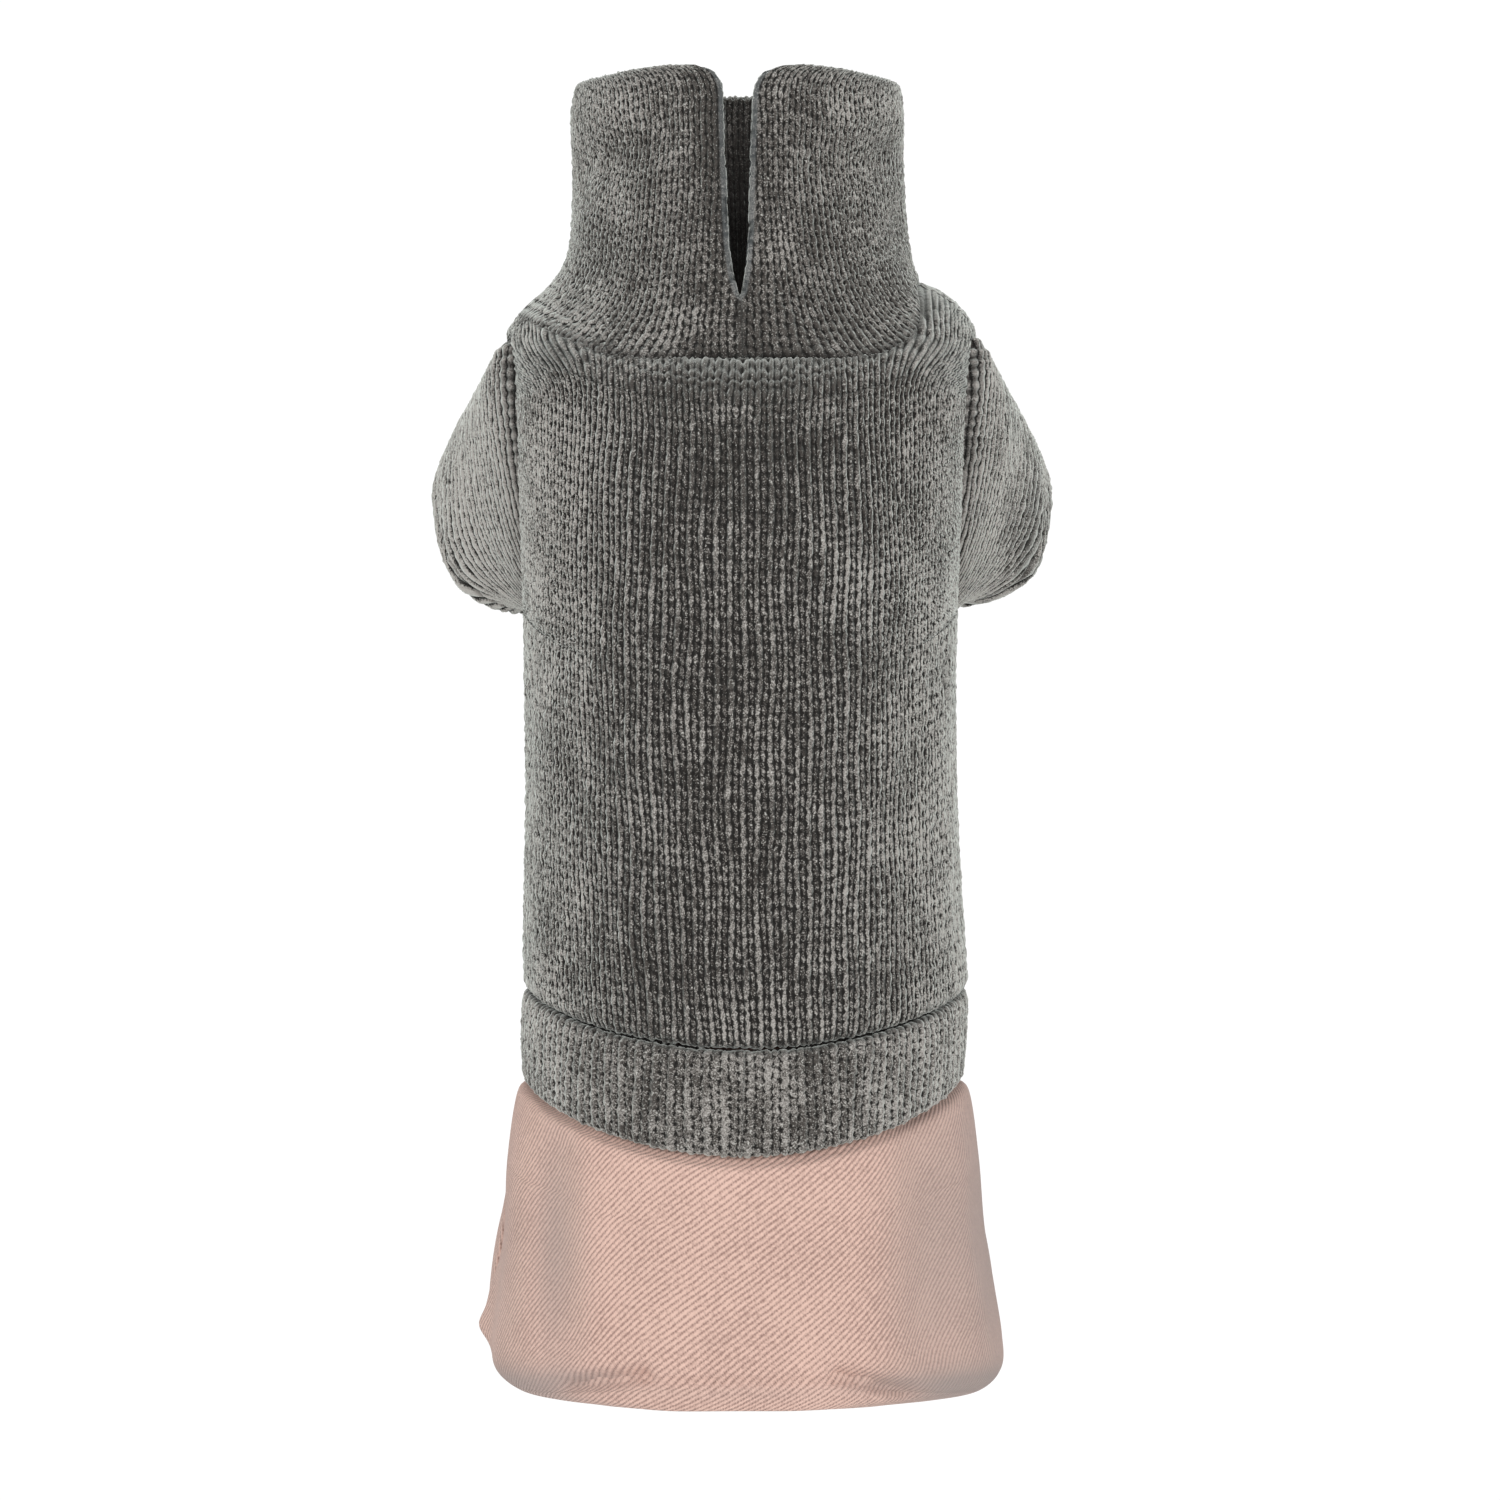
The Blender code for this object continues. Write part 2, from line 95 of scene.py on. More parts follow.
BODY = [
    Section(-18.8, 5.2, -10, 0, 50.4, 50.6, 50, 2),
    Section(-24, -0.4, -15.5, 0, 59.2, 56.6, 58, 2.1),
    Section(-32.5, -11, -26, -0.1, 64, 60.6, 65, 2.2),
    Section(-57.5, -35.7, -48, -0.3, 62.8, 64.4, 70, 2.25),
    Section(-83, -61.8, -71, -0.4, 61.9, 66, 72, 2.25),
    Section(-108, -87, -95, -0.5, 61, 66.4, 72, 2.25),
    Section(-133, -114, -118, -0.5, 60.6, 65.6, 70.5, 2.25),
    Section(-160, -142, -145, -0.1, 60.7, 64.2, 67.5, 2.25),
    Section(-186, -169, -170.5, 0.3, 61.7, 62.6, 63.5, 2.25),
    Section(-203.2, -188.4, -188.4, 1, 62.3, 61.2, 60.6, 2.25),
    Section(-207, -191.8, -191.8, 1, 61.2, 59.8, 59.2, 2.25),
]
BAND = [
    Section(-207.4, -192.2, -192.2, 1, 61.2, 59.8, 59.2, 2.25),
    Section(-210.6, -195.2, -195.2, 0.9, 62.4, 61.2, 60.4, 2.25),
    Section(-222.5, -205.5, -205.5, 0.5, 62.5, 61.8, 60.6, 2.25),
    Section(-234.5, -214.8, -214.8, 0.3, 62, 61.4, 60.2, 2.25),
]
PANTS = [
    Section(-208.6, -193.8, -193.8, 1, 56, 54.8, 54.2, 2.25),
    Section(-222, -205, -205, 0.5, 57.3, 56.6, 55.4, 2.25),
    Section(-233.3, -213.8, -213.8, 0.3, 56.9, 56.4, 55.2, 2.25),
    Section(-237.8, -218, -218, 0.3, 59.2, 58.6, 57, 2.25),
    Section(-241.4, -221.4, -221.4, 0.4, 63.2, 61.6, 58.6, 2.25),
    Section(-256, -240, -238, 0.3, 66, 62.2, 59, 2.25),
    Section(-269, -259, -252, 0.5, 67.4, 61.8, 57, 2.25),
    Section(-281, -276, -264, 0.9, 69.8, 61, 53, 2.3),
    Section(-289, -289, -274, 1.3, 71.4, 60.4, 48.5, 2.4),
    Section(-294.5, -298, -281, 1.7, 70.9, 60, 44.5, 2.6),
    Section(-299, -304, -286.5, 2.4, 64.4, 59.8, 41, 3),
    Section(-302, -306.4, -290, 1.6, 53, 59.4, 38.5, 3.6),
    Section(-304.2, -306.6, -292, 0.4, 42, 59, 37, 4),
]
COLLAR = [
    Section(-18.4, 5.7, -9.6, 0, 50.3, 50.6, 50, 2),
    Section(-12, 10, -2.5, -0.2, 48.6, 49.8, 48.6, 2),
    Section(-3.4, 16.5, 6.5, -0.4, 47.7, 49.2, 47.6, 2),
    Section(4.5, 22, 14, -0.6, 47.4, 48.9, 47.1, 2.05),
    Section(14, 28.5, 22.5, -0.8, 47.1, 48.6, 46.7, 2.1),
    Section(29, 38.5, 34.5, -1.1, 46.8, 48, 46.3, 2.1),
    Section(44, 48.5, 46.5, -1.3, 46.9, 47.5, 46.1, 2.15),
    Section(53.5, 54.5, 54, -1.3, 46.6, 47.1, 46, 2.2),
    Section(58.1, 58.6, 58.1, -1.2, 45.9, 46.8, 45.6, 2.2),
]

# The collar's two edges at its split, as distances round from the middle of the back.
Split = namedtuple("Split", "section left_edge right_edge")
SPLIT = [
    Split(0, 0, 0),
    Split(2, 0, 0),
    Split(2.2, -1.5, 1.4),
    Split(3, -3.1, 2.8),
    Split(4, -4.1, 3.8),
    Split(6, -4.8, 5.2),
    Split(8, -5.1, 6.3),
]
SPLIT_CORNER = 8.5      # radius of the collar's two top corners
COLLAR_SPREAD = 4       # the collar's section above which it no longer spreads to the shoulders
SPREAD_POWER = 6
SPLIT_FOOT = 2          # the collar's section at the foot of the split

# The body's section at which the neck seam lies, at angles from the middle of the back.
NECK_SEAM = [(-180, 0), (-90, 1.5), (-43, 1.2), (0, 0), (43, 1.2), (86, 0), (180, 0)]

# A hole is where a sleeve or leg is sewn in, under a seam that starts at one angle at the left
# side and another at the right.
Hole = namedtuple(
    "Hole", "first last left_start right_start top_angle bottom_angle back_reach belly_reach"
)
ARMHOLE = Hole(first=2, last=5, left_start=74, right_start=82, top_angle=88, bottom_angle=112,
               back_reach=12, belly_reach=31)
LEG_HOLE = Hole(first=5, last=10, left_start=108, right_start=108, top_angle=112,
                bottom_angle=120, back_reach=14, belly_reach=28)
SHOULDER_CURVE = 0.6    # lower where the shoulder seam leaves the neck more steeply

# A sleeve's or leg's end ring reaches further on the side away from the wearer. The cloth keeps
# on straight out of its hole and straight into its end for shares of its length.
Limb = namedtuple("Limb", "end axis tall outer inner out along slope")
SLEEVE = Limb((61.8, 60.0, -60.6), (0.22, 0.82, -0.54), 31.8, 28.2, 16, 0.5, 0.6, 0.55)
LEFT_LEG = Limb((47.5, 78.0, -268.0), (0.10, 0.97, -0.20), 23.5, 23, 22, 0.15, 0.7, 0)
RIGHT_LEG = Limb((46.5, 79.0, -276.0), (0.08, 0.95, -0.30), 24, 23, 22, 0.15, 0.7, 0)
SLOPE_REACH = 14.0      # how far below the top of a hole its slope ends
OUTER_SQUARENESS = 2.6  # of the outer half of an end ring

# A soft fold: where its middle is, how far it reaches each way, and how deep it is.
Fold = namedtuple("Fold", "angle z half_angle half_height depth")
BODY_FOLDS = [
    Fold(102, -9, 15, 9, -3.2),
    Fold(-102, -9, 15, 9, -3.2),
]
COLLAR_FOLDS = [
    Fold(-42, 30, 26, 13, 1.5),
    Fold(58, 28, 24, 14, 1.5),
    Fold(140, 24, 30, 12, 1.2),
    Fold(215, 30, 28, 12, 1.3),
    Fold(-70, 14, 16, 8, -0.8),
]
PANTS_FOLDS = [
    Fold(-98, -288, 7, 4.5, -3.4),
    Fold(-98, -280, 7, 9, -2.6),
    Fold(-58, -262, 11, 26, 1.9),
    Fold(-84, -272, 8, 20, 1.1),
    Fold(54, -268, 9, 30, 1.5),
    Fold(74, -262, 8, 26, 1.7),
    Fold(180, -262, 22, 16, 1.6),
    Fold(36, -299, 9, 6, 1.3),
    Fold(-36, -299, 9, 6, 1.3),
]


# ---- Curves and surfaces ----

def between(table, places):
    """The values of a table at places between its rows, on one smooth curve through them."""
    values = np.array(table, float)
    places = np.asarray(places, float)
    last = len(values) - 1
    low = np.clip(np.floor(places).astype(int), 0, last - 1)
    t = (places - low)[..., None]
    before, start = values[np.maximum(low - 1, 0)], values[low]
    end, after = values[low + 1], values[np.minimum(low + 2, last)]
    return start + 0.5 * t * (
        end - before
        + t * (2 * before - 5 * start + 4 * end - after + t * (3 * (start - end) + after - before))
    )


def section_at(sections, places):
    """The section, or sections, at places between the rows of a table of them."""
    return Section(*np.moveaxis(between(sections, places), -1, 0))


def surface(sections, folds, places, angles):
    """Points of the cloth's outer face, at section places and at angles in degrees."""
    ring = section_at(sections, places)
    turn = np.radians(angles)
    across, toward_back = np.sin(turn), np.cos(turn)
    at_back = toward_back > 0
    depth = np.where(at_back, ring.back_depth, ring.belly_depth)
    middle_z = np.where(at_back, ring.back_z, ring.belly_z)
    z = ring.side_z + (middle_z - ring.side_z) * np.abs(toward_back) ** RISE_POWER
    power = ring.squareness
    radius = (
        np.abs(across / ring.half_width) ** power + np.abs(toward_back / depth) ** power
    ) ** (-1 / power)
    for fold in folds:
        aside = (np.asarray(angles) - fold.angle + 180) % 360 - 180
        radius = radius - fold.depth * np.exp(
            -((aside / fold.half_angle) ** 2) - ((z - fold.z) / fold.half_height) ** 2
        )
    return np.stack([ring.middle_x + radius * across, -radius * toward_back, z], -1)


def unit(vectors):
    """The vectors, each one long."""
    return vectors / np.linalg.norm(vectors, axis=-1, keepdims=True)


def normals_of(grid, closed):
    """The outward normal at each point of a grid whose rows run down and columns run round."""
    down = np.gradient(grid, axis=0)
    if closed:
        across = np.roll(grid, -1, 1) - np.roll(grid, 1, 1)
    else:
        across = np.gradient(grid, axis=1)
    return unit(np.cross(down, across))


def fold_under(grid, closed, wall, back):
    """The grid with its last row folded inwards, and carried back over the last rows' places.

    back lists which of the grid's rows the turned part lies under, from the fold inwards.
    """
    normal = normals_of(grid, closed)
    radius = wall + FOLD_GAP / 2
    onward = unit(grid[-1] - grid[-2])
    fold = [
        grid[-1] + radius * (onward * np.sin(turn) - normal[-1] * (1 - np.cos(turn)))
        for turn in np.radians(np.linspace(0, 180, FOLD_STEPS + 1)[1:])
    ]
    inner = [grid[i] - 2 * radius * normal[i] for i in back]
    return np.concatenate([grid, fold, inner])


def carried(values, back):
    """Values of each row of a grid, carried on round its fold and back."""
    return np.concatenate([values, np.repeat(values[-1:], FOLD_STEPS, 0), values[back]])


def line_lengths(points):
    """How far each point of a line is from its start."""
    return np.concatenate([[0], np.cumsum(np.linalg.norm(np.diff(points, axis=0), axis=-1))])


def along_rows(grid):
    """How far each point is from the grid's first column, along its own row."""
    steps = np.linalg.norm(np.diff(grid, axis=1), axis=-1)
    return np.concatenate([np.zeros((len(grid), 1)), np.cumsum(steps, axis=1)], axis=1)


def along_columns(grid):
    """How far each point is from the grid's first row, along its own column."""
    return along_rows(grid.transpose(1, 0, 2)).T


def even_places(sections, first, last, step):
    """Section places from first to last whose rings lie about a step apart."""
    fine = np.linspace(first, last, 600)
    rings = surface(sections, [], fine[:, None], np.array([0, 70, 180]))
    along = along_columns(rings).mean(-1)
    count = int(round(along[-1] / step)) + 1
    return np.interp(np.linspace(0, along[-1], count), along, fine)


def tube_places(tube, above, below):
    """Section places down a tube, with a step above its holes' tops and one below them."""
    first, last, end = tube.hole.first, tube.hole.last, len(tube.sections) - 1
    return np.concatenate([
        even_places(tube.sections, 0, first, above)[:-1],
        even_places(tube.sections, first, last, below)[:-1],
        even_places(tube.sections, last, end, below),
    ])


def girth(sections, place, angles):
    """Distance round one ring from the middle of the back to the angles, which may be negative."""
    around = np.linspace(0, 360, 1441)
    along = line_lengths(surface(sections, [], place, around))
    return np.interp(np.mod(angles, 360), around, along) + np.floor_divide(angles, 360) * along[-1]


def smooth(share):
    """From 0 to 1, gently at both ends."""
    share = np.clip(share, 0, 1)
    return share * share * (3 - 2 * share)


def bump(distance, width):
    """1 at no distance, falling softly to 0 beyond the width."""
    return np.exp(-((distance / width) ** 2))


def soft_noise(x, y, seed, terms=9):
    """A smooth random pattern from about -1 to 1, with details about 1 across."""
    pick = np.random.default_rng(seed)
    total = 0
    for _ in range(terms):
        turn, phase = pick.uniform(0, 2 * np.pi, 2)
        pace = pick.uniform(0.6, 1.5) * 2.2
        total = total + np.sin(pace * (x * np.cos(turn) + y * np.sin(turn)) + phase)
    return total / np.sqrt(terms / 2) / 1.6


# A crease runs from one point to another, as seen from behind the wearer, or from in front of it.
Crease = namedtuple("Crease", "x z end_x end_z width depth at_belly", defaults=(False,))
COLLAR_CREASES = [
    Crease(-48, 34, -24, 43, 5.5, -1.5),
    Crease(-46, 21, -26, 29, 6, 0.9),
    Crease(-22, 12, -30, -2, 4.5, -0.6),
    Crease(20, 33, 46, 39, 5.5, -1.3),
    Crease(24, 46, 46, 50, 4.5, 0.9),
    Crease(30, 20, 47, 14, 5, -0.8),
    Crease(-40, 20, 5, 30, 6, -1.2, True),
    Crease(8, 12, 42, 22, 5.5, -1, True),
]
PANTS_CREASES = [
    Crease(-51, -236, -49, -288, 6, -2.3),
    Crease(-61, -246, -60, -282, 4.5, 0.8),
    Crease(-39, -250, -38, -290, 6.5, 0.6),
    Crease(49, -230, 52, -290, 6.5, -2.5),
    Crease(62, -240, 65, -282, 5, 1),
    Crease(37, -262, 38, -292, 6, 0.7),
    Crease(-47, -299, -27, -295.5, 2.4, -3.2),
    Crease(-55, -294, -36, -292, 4, 0.9),
    Crease(27, -295.5, 46, -300.5, 2.4, -3.2),
    Crease(36, -292, 56, -295, 4, 0.9),
    Crease(-27, -297, 27, -297, 1.3, -0.9),
    Crease(-20, -232, -34, -262, 7, -0.5),
    Crease(18, -240, 26, -270, 7, -0.5),
    Crease(-30, -226, -14, -268, 6, -1.3, True),
    Crease(4, -222, 22, -262, 7, -1.2, True),
    Crease(-8, -250, 10, -284, 6, 0.8, True),
]


def creased(grid, creases):
    """The grid with its creases pressed in or, where their depth is above 0, raised."""
    x, z = grid[..., 0], grid[..., 2]
    out = unit(grid[..., :2])
    made = grid.copy()
    for crease in creases:
        over, up = crease.end_x - crease.x, crease.end_z - crease.z
        share = np.clip(((x - crease.x) * over + (z - crease.z) * up) / (over**2 + up**2), 0, 1)
        away = np.hypot(x - crease.x - share * over, z - crease.z - share * up)
        facing = smooth((1 if crease.at_belly else -1) * grid[..., 1] / 20)
        made[..., :2] += (crease.depth * bump(away, crease.width) * facing)[..., None] * out
    return made


# ---- Knit ----

def strayed(place, across, down, strays, seed):
    """A place in the knit, with how far it strays at each point of the cloth."""
    for stray in strays:
        place = place + stray.share * soft_noise(across / stray.wide, down / stray.tall, seed)
        seed += 1
    return place


def knit(across, down, seed, stitches):
    """The stitches' relief in mm, 0 at a crest, and where each point lies among them.

    That place is in half wales across and courses down, so a material can find each stitch.
    """
    sizes = np.random.default_rng(seed).uniform(LEAST_STITCH, LARGEST_STITCH, (TABLE, TABLE))
    place = strayed(across / (stitches.wale / 2), across, down, STRAY_ACROSS, seed + 1)
    row = strayed(down / stitches.course, across, down, STRAY_DOWN, seed + 3)
    column = np.floor(place)
    x = place - column - 0.5
    flat = np.mod(column, 2)
    y = row + STITCH_LEAN * x * (1 - 2 * flat) + DRIFT * np.sin(DRIFT_PACE * column)
    size = sizes[column.astype(int) % TABLE, np.floor(y).astype(int) % TABLE]
    y = y - np.floor(y) - 0.5
    flat = flat * stitches.ribbed
    aside = np.abs(2 * x) ** SIDE_SHAPE
    along = stitches.pits * np.abs(2 * y) ** END_SHAPE
    low = stitches.side_drop * aside + END_DROP * (1 + (FLAT_END - 1) * flat) * along
    low = low + CORNER_DROP * aside * along
    crest = np.clip(1 - low, 0, 1) * size * (1 - (1 - FLAT_HALF) * flat)
    return (crest - 1) * STITCH_RELIEF, np.stack([place, row], -1)


# ---- Meshes ----

def bridge(outer, inner, marks):
    """The rim between a fine edge and a coarse one. marks are the fine points over the coarse."""
    faces = []
    for k in range(len(inner) - 1):
        middle = (marks[k] + marks[k + 1]) // 2
        for j in range(marks[k], marks[k + 1]):
            faces.append((outer[j], outer[j + 1], inner[k] if j < middle else inner[k + 1]))
        faces.append((inner[k], outer[middle], inner[k + 1]))
    return faces


def quads(ids, closed):
    """The faces of a grid of point numbers."""
    if closed:
        ids = np.concatenate([ids, ids[:, :1]], axis=1)
    return np.stack([ids[:-1, :-1], ids[1:, :-1], ids[1:, 1:], ids[:-1, 1:]], -1).reshape(-1, 4)


def spaced(count, step, needed=()):
    """Numbers from 0 to count - 1, about a step apart, with the needed ones among them."""
    return sorted({*range(0, count - step // 2, step), count - 1, *needed})


RIM_REACH = 1.3         # mm by which a cloth's edge swells beyond its last points
RIM_STEPS = ((0.8, 0.4), (1.0, 0.8))    # shares of that, and of the wall, round the edge
RIM = len(RIM_STEPS)
HIDDEN_STEP = 7         # fine rows or columns to each coarse one inside


def swollen(points, normal, wall, closed):
    """The points with their edges carried on round the cloth's thickness, a little outwards."""
    for axis in (0,) if closed else (0, 1):
        flat = np.moveaxis(points, axis, 0)
        facing = np.moveaxis(normal, axis, 0)
        first, last = unit(flat[0] - flat[1]), unit(flat[-1] - flat[-2])
        start = [flat[0] + RIM_REACH * reach * first - wall * depth * facing[0]
                 for reach, depth in RIM_STEPS[::-1]]
        end = [flat[-1] + RIM_REACH * reach * last - wall * depth * facing[-1]
               for reach, depth in RIM_STEPS]
        points = np.moveaxis(np.concatenate([start, flat, end]), 0, axis)
        pad = [(0, 0)] * 3
        pad[axis] = (RIM, RIM)
        normal = np.pad(normal, pad, mode="edge")
    return points


def rims(ids, under_ids, hidden_rows, hidden_columns, closed, joined):
    """The faces between the outer and the inner face, along every edge that the cloth has."""
    rows, columns = ids.shape
    ring, under_ring, marks = ids, under_ids, list(hidden_columns)
    if closed:
        ring = np.concatenate([ids, ids[:, :1]], axis=1)
        under_ring = np.concatenate([under_ids, under_ids[:, :1]], axis=1)
        marks.append(columns)
    marks[0], marks[-1] = 0, ring.shape[1] - 1
    faces = bridge(ring[0].tolist(), under_ring[0].tolist(), marks)
    backward = [ring.shape[1] - 1 - mark for mark in marks[::-1]]
    faces += bridge(ring[-1, ::-1].tolist(), under_ring[-1, ::-1].tolist(), backward)
    if closed:
        return faces
    apart = np.flatnonzero(~joined)
    start, stop = max(apart[0] - 1, 0), min(apart[-1] + 1, rows - 1)
    chosen = [k for k, row in enumerate(hidden_rows) if start <= row <= stop]
    marks = [hidden_rows[k] - start for k in chosen]
    right, left = ids[start:stop + 1, -1], ids[start:stop + 1, 0]
    faces += bridge(right.tolist(), under_ids[chosen, -1].tolist(), marks)
    backward = [stop - start - mark for mark in marks[::-1]]
    return faces + bridge(left[::-1].tolist(), under_ids[chosen, 0][::-1].tolist(), backward)


def placed(name, data):
    """A new object in the scene."""
    made = bpy.data.objects.new(name, data)
    bpy.context.scene.collection.objects.link(made)
    return made


def shell(name, grid, lift, wall, look, closed, marks, weave, joined=None, hidden_rows=None):
    """One piece of cloth: a fine outer face with its relief, a plain inner face and the rims.

    lift raises the outer face from the grid. marks are values kept on the points for the
    material, and weave is each point's place on the cloth. In joined rows the two ends of a
    row are one point.
    """
    rows, columns = grid.shape[:2]
    normal = normals_of(grid, closed)
    if joined is None:
        joined = np.zeros(rows, bool)
    normal[joined, 0] = normal[joined, -1] = unit(normal[joined, 0] + normal[joined, -1])
    hidden_rows = hidden_rows or spaced(rows, HIDDEN_STEP)
    hidden_columns = spaced(columns, HIDDEN_STEP)
    if closed:
        hidden_columns = hidden_columns[:-1]
    under = np.ix_(hidden_rows, hidden_columns)
    outer = swollen(grid + lift[..., None] * normal, normal, wall, closed)
    rows, columns = outer.shape[:2]
    outer = outer.reshape(-1, 3)
    inner = (grid - wall * normal)[under].reshape(-1, 3)
    pad = [(RIM, RIM), (0, 0) if closed else (RIM, RIM)]
    joined = np.pad(joined, RIM, mode="edge")
    hidden_rows = [0, *(row + RIM for row in hidden_rows[1:-1]), rows - 1]
    hidden_columns = [column + pad[1][0] for column in hidden_columns]
    ids = np.arange(rows * columns).reshape(rows, columns)
    under_ids = len(outer) + np.arange(len(inner)).reshape(len(hidden_rows), -1)
    for column in (0, 1, -3, -2, -1):
        ids[joined, column] = ids[joined, RIM]
    low = joined[hidden_rows]
    under_ids[low, -1] = under_ids[low, 0]
    faces = quads(ids, closed).tolist() + quads(under_ids, closed)[:, ::-1].tolist()
    faces += rims(ids, under_ids, hidden_rows, hidden_columns, closed, joined)
    used = np.unique(np.concatenate([ids.ravel(), under_ids.ravel()]))
    renumber = np.full(len(outer) + len(inner), -1)
    renumber[used] = np.arange(len(used))
    table = renumber.tolist()
    faces = [list(dict.fromkeys(face)) for face in faces]
    faces = [[table[i] for i in face] for face in faces if len(face) > 2]
    points = np.concatenate([outer, inner])[used] * MM
    mesh = bpy.data.meshes.new(name)
    mesh.from_pydata(points.tolist(), [], faces)
    for key, values in marks.items():
        around = np.pad(values, pad, mode="edge")
        kept = np.concatenate([around.ravel(), values[under].ravel()])[used]
        layer = mesh.attributes.new(key, "FLOAT", "POINT")
        layer.data.foreach_set("value", kept.astype(np.float32))
    around = np.pad(weave, [*pad, (0, 0)], mode="edge")
    place = np.concatenate([around.reshape(-1, 2), weave[under].reshape(-1, 2)])[used]
    corner = np.empty(len(mesh.loops), np.int32)
    mesh.loops.foreach_get("vertex_index", corner)
    layer = mesh.uv_layers.new(name="cloth")
    layer.data.foreach_set("uv", place[corner].ravel().astype(np.float32))
    mesh.materials.append(look)
    mesh.shade_smooth()
    return placed(name, mesh)


def declare(piece, grid, closed):
    """Works out the width and length that a piece of cloth was cut to, from the grid of its outer
    face, and returns the piece.
    """
    around = np.concatenate([grid, grid[:, :1]], axis=1) if closed else grid
    width, length = along_rows(around)[:, -1].max(), along_columns(around)[-1].max()
    return piece


# ---- Materials ----

def new_material(name, colour):
    """An empty node material with a Principled shader."""
    made = bpy.data.materials.new(name)
    made.use_nodes = True
    made.diffuse_color = (*colour, 1)
    tree = made.node_tree
    return made, tree, tree.nodes["Principled BSDF"]


def set_inputs(node, **values):
    """Gives a node's inputs their values. They go by their labels, with _ for each space."""
    for key, value in values.items():
        node.inputs[key.replace("_", " ")].default_value = value


def add(tree, kind, **settings):
    """A new node. Settings name its properties, and its inputs by their labels."""
    node = tree.nodes.new(kind)
    for key, value in settings.items():
        if hasattr(node, key):
            setattr(node, key, value)
        else:
            set_inputs(node, **{key: value})
    return node


class Number:
    """A value that a material works out. Arithmetic on it makes Math nodes."""

    def __init__(self, tree, socket):
        self.tree, self.socket = tree, socket

    def calc(self, operation, *others, clamp=False):
        """The result of a Math node on this number and others."""
        node = add(self.tree, "ShaderNodeMath", operation=operation, use_clamp=clamp)
        for socket, value in zip(node.inputs, (self, *others)):
            if isinstance(value, Number):
                self.tree.links.new(value.socket, socket)
            else:
                socket.default_value = value
        return Number(self.tree, node.outputs[0])

    __add__ = partialmethod(calc, "ADD")
    __sub__ = partialmethod(calc, "SUBTRACT")
    __mul__ = partialmethod(calc, "MULTIPLY")
    __mod__ = partialmethod(calc, "FLOORED_MODULO")
    __pow__ = partialmethod(calc, "POWER")
    floor = partialmethod(calc, "FLOOR")
    fraction = partialmethod(calc, "FRACT")
    size = partialmethod(calc, "ABSOLUTE")
    sine = partialmethod(calc, "SINE")
    from_0_to_1 = partialmethod(calc, "ADD", 0, clamp=True)


def mix(share, low, high):
    """The output of a Mix node between two colours or colour sockets."""
    tree = share.tree
    node = add(tree, "ShaderNodeMix", data_type="RGBA")
    tree.links.new(share.socket, node.inputs[0])
    for socket, value in zip(node.inputs[6:8], (low, high)):
        if isinstance(value, tuple):
            socket.default_value = (*value, 1)
        else:
            tree.links.new(value, socket)
    return node.outputs[2]


def noise(tree, vector, scale, detail=2.0, roughness=0.5):
    """The value of a Noise texture, about 0.5 in the middle."""
    node = add(tree, "ShaderNodeTexNoise", Scale=scale, Detail=detail, Roughness=roughness)
    tree.links.new(vector, node.inputs["Vector"])
    return Number(tree, node.outputs["Fac"])


def attribute(tree, name):
    """A value that the mesh keeps on its points."""
    return Number(tree, add(tree, "ShaderNodeAttribute", attribute_name=name).outputs["Fac"])


def split(tree, vector):
    """A vector's first two numbers."""
    node = add(tree, "ShaderNodeSeparateXYZ")
    tree.links.new(vector, node.inputs[0])
    return Number(tree, node.outputs["X"]), Number(tree, node.outputs["Y"])


def cover(shader, colour, relief, strength, distance):
    """Gives a shader its colour and its fine relief."""
    tree = relief.tree
    bumps = add(tree, "ShaderNodeBump", Strength=strength, Distance=distance)
    tree.links.new(relief.socket, bumps.inputs["Height"])
    tree.links.new(bumps.outputs["Normal"], shader.inputs["Normal"])
    tree.links.new(colour, shader.inputs["Base Color"])


# Painted shade in the pits between the stitches.
PIT_SHADE_COLOUR = (0.016, 0.014, 0.013)
DARK_NAP = (0.058, 0.051, 0.046)
LIGHT_NAP = (0.37, 0.346, 0.323)
# Painted highlight along the collar's split edges.
EDGE_SHEEN_COLOUR = (0.30, 0.335, 0.35)
SHEEN_COLOUR = (0.63, 0.64, 0.60)
FLAT_DARKER = -0.35
NAP_LEVEL = 3.55


def stitch_nodes(tree):
    """How high each point lies in its stitch, from 0 to 1, and how light the stitch is by chance.

    The sums are those of knit(), on the place that it gives.
    """
    across, row = split(tree, add(tree, "ShaderNodeUVMap", uv_map="cloth").outputs["UV"])
    column = across.floor()
    x = across.fraction() - 0.5
    flat = column % 2
    y = row + x * (flat * (-2 * STITCH_LEAN) + STITCH_LEAN) + (column * DRIFT_PACE).sine() * DRIFT
    course = y.floor()
    y = y.fraction() - 0.5
    flat = flat * attribute(tree, "ribbed")
    aside = (x.size() * 2) ** SIDE_SHAPE
    along = (y.size() * 2) ** END_SHAPE * attribute(tree, "pits")
    low = aside * attribute(tree, "side_drop")
    low = low + along * (flat * (END_DROP * (FLAT_END - 1)) + END_DROP)
    low = low + aside * along * CORNER_DROP
    high = (low * -1 + 1) * (flat * (FLAT_HALF - 1) + 1)
    stitch = add(tree, "ShaderNodeCombineXYZ")
    tree.links.new(column.socket, stitch.inputs[0])
    tree.links.new(course.socket, stitch.inputs[1])
    chance = add(tree, "ShaderNodeTexWhiteNoise", noise_dimensions="2D")
    tree.links.new(stitch.outputs[0], chance.inputs["Vector"])
    return high, flat * FLAT_DARKER + Number(tree, chance.outputs["Value"])


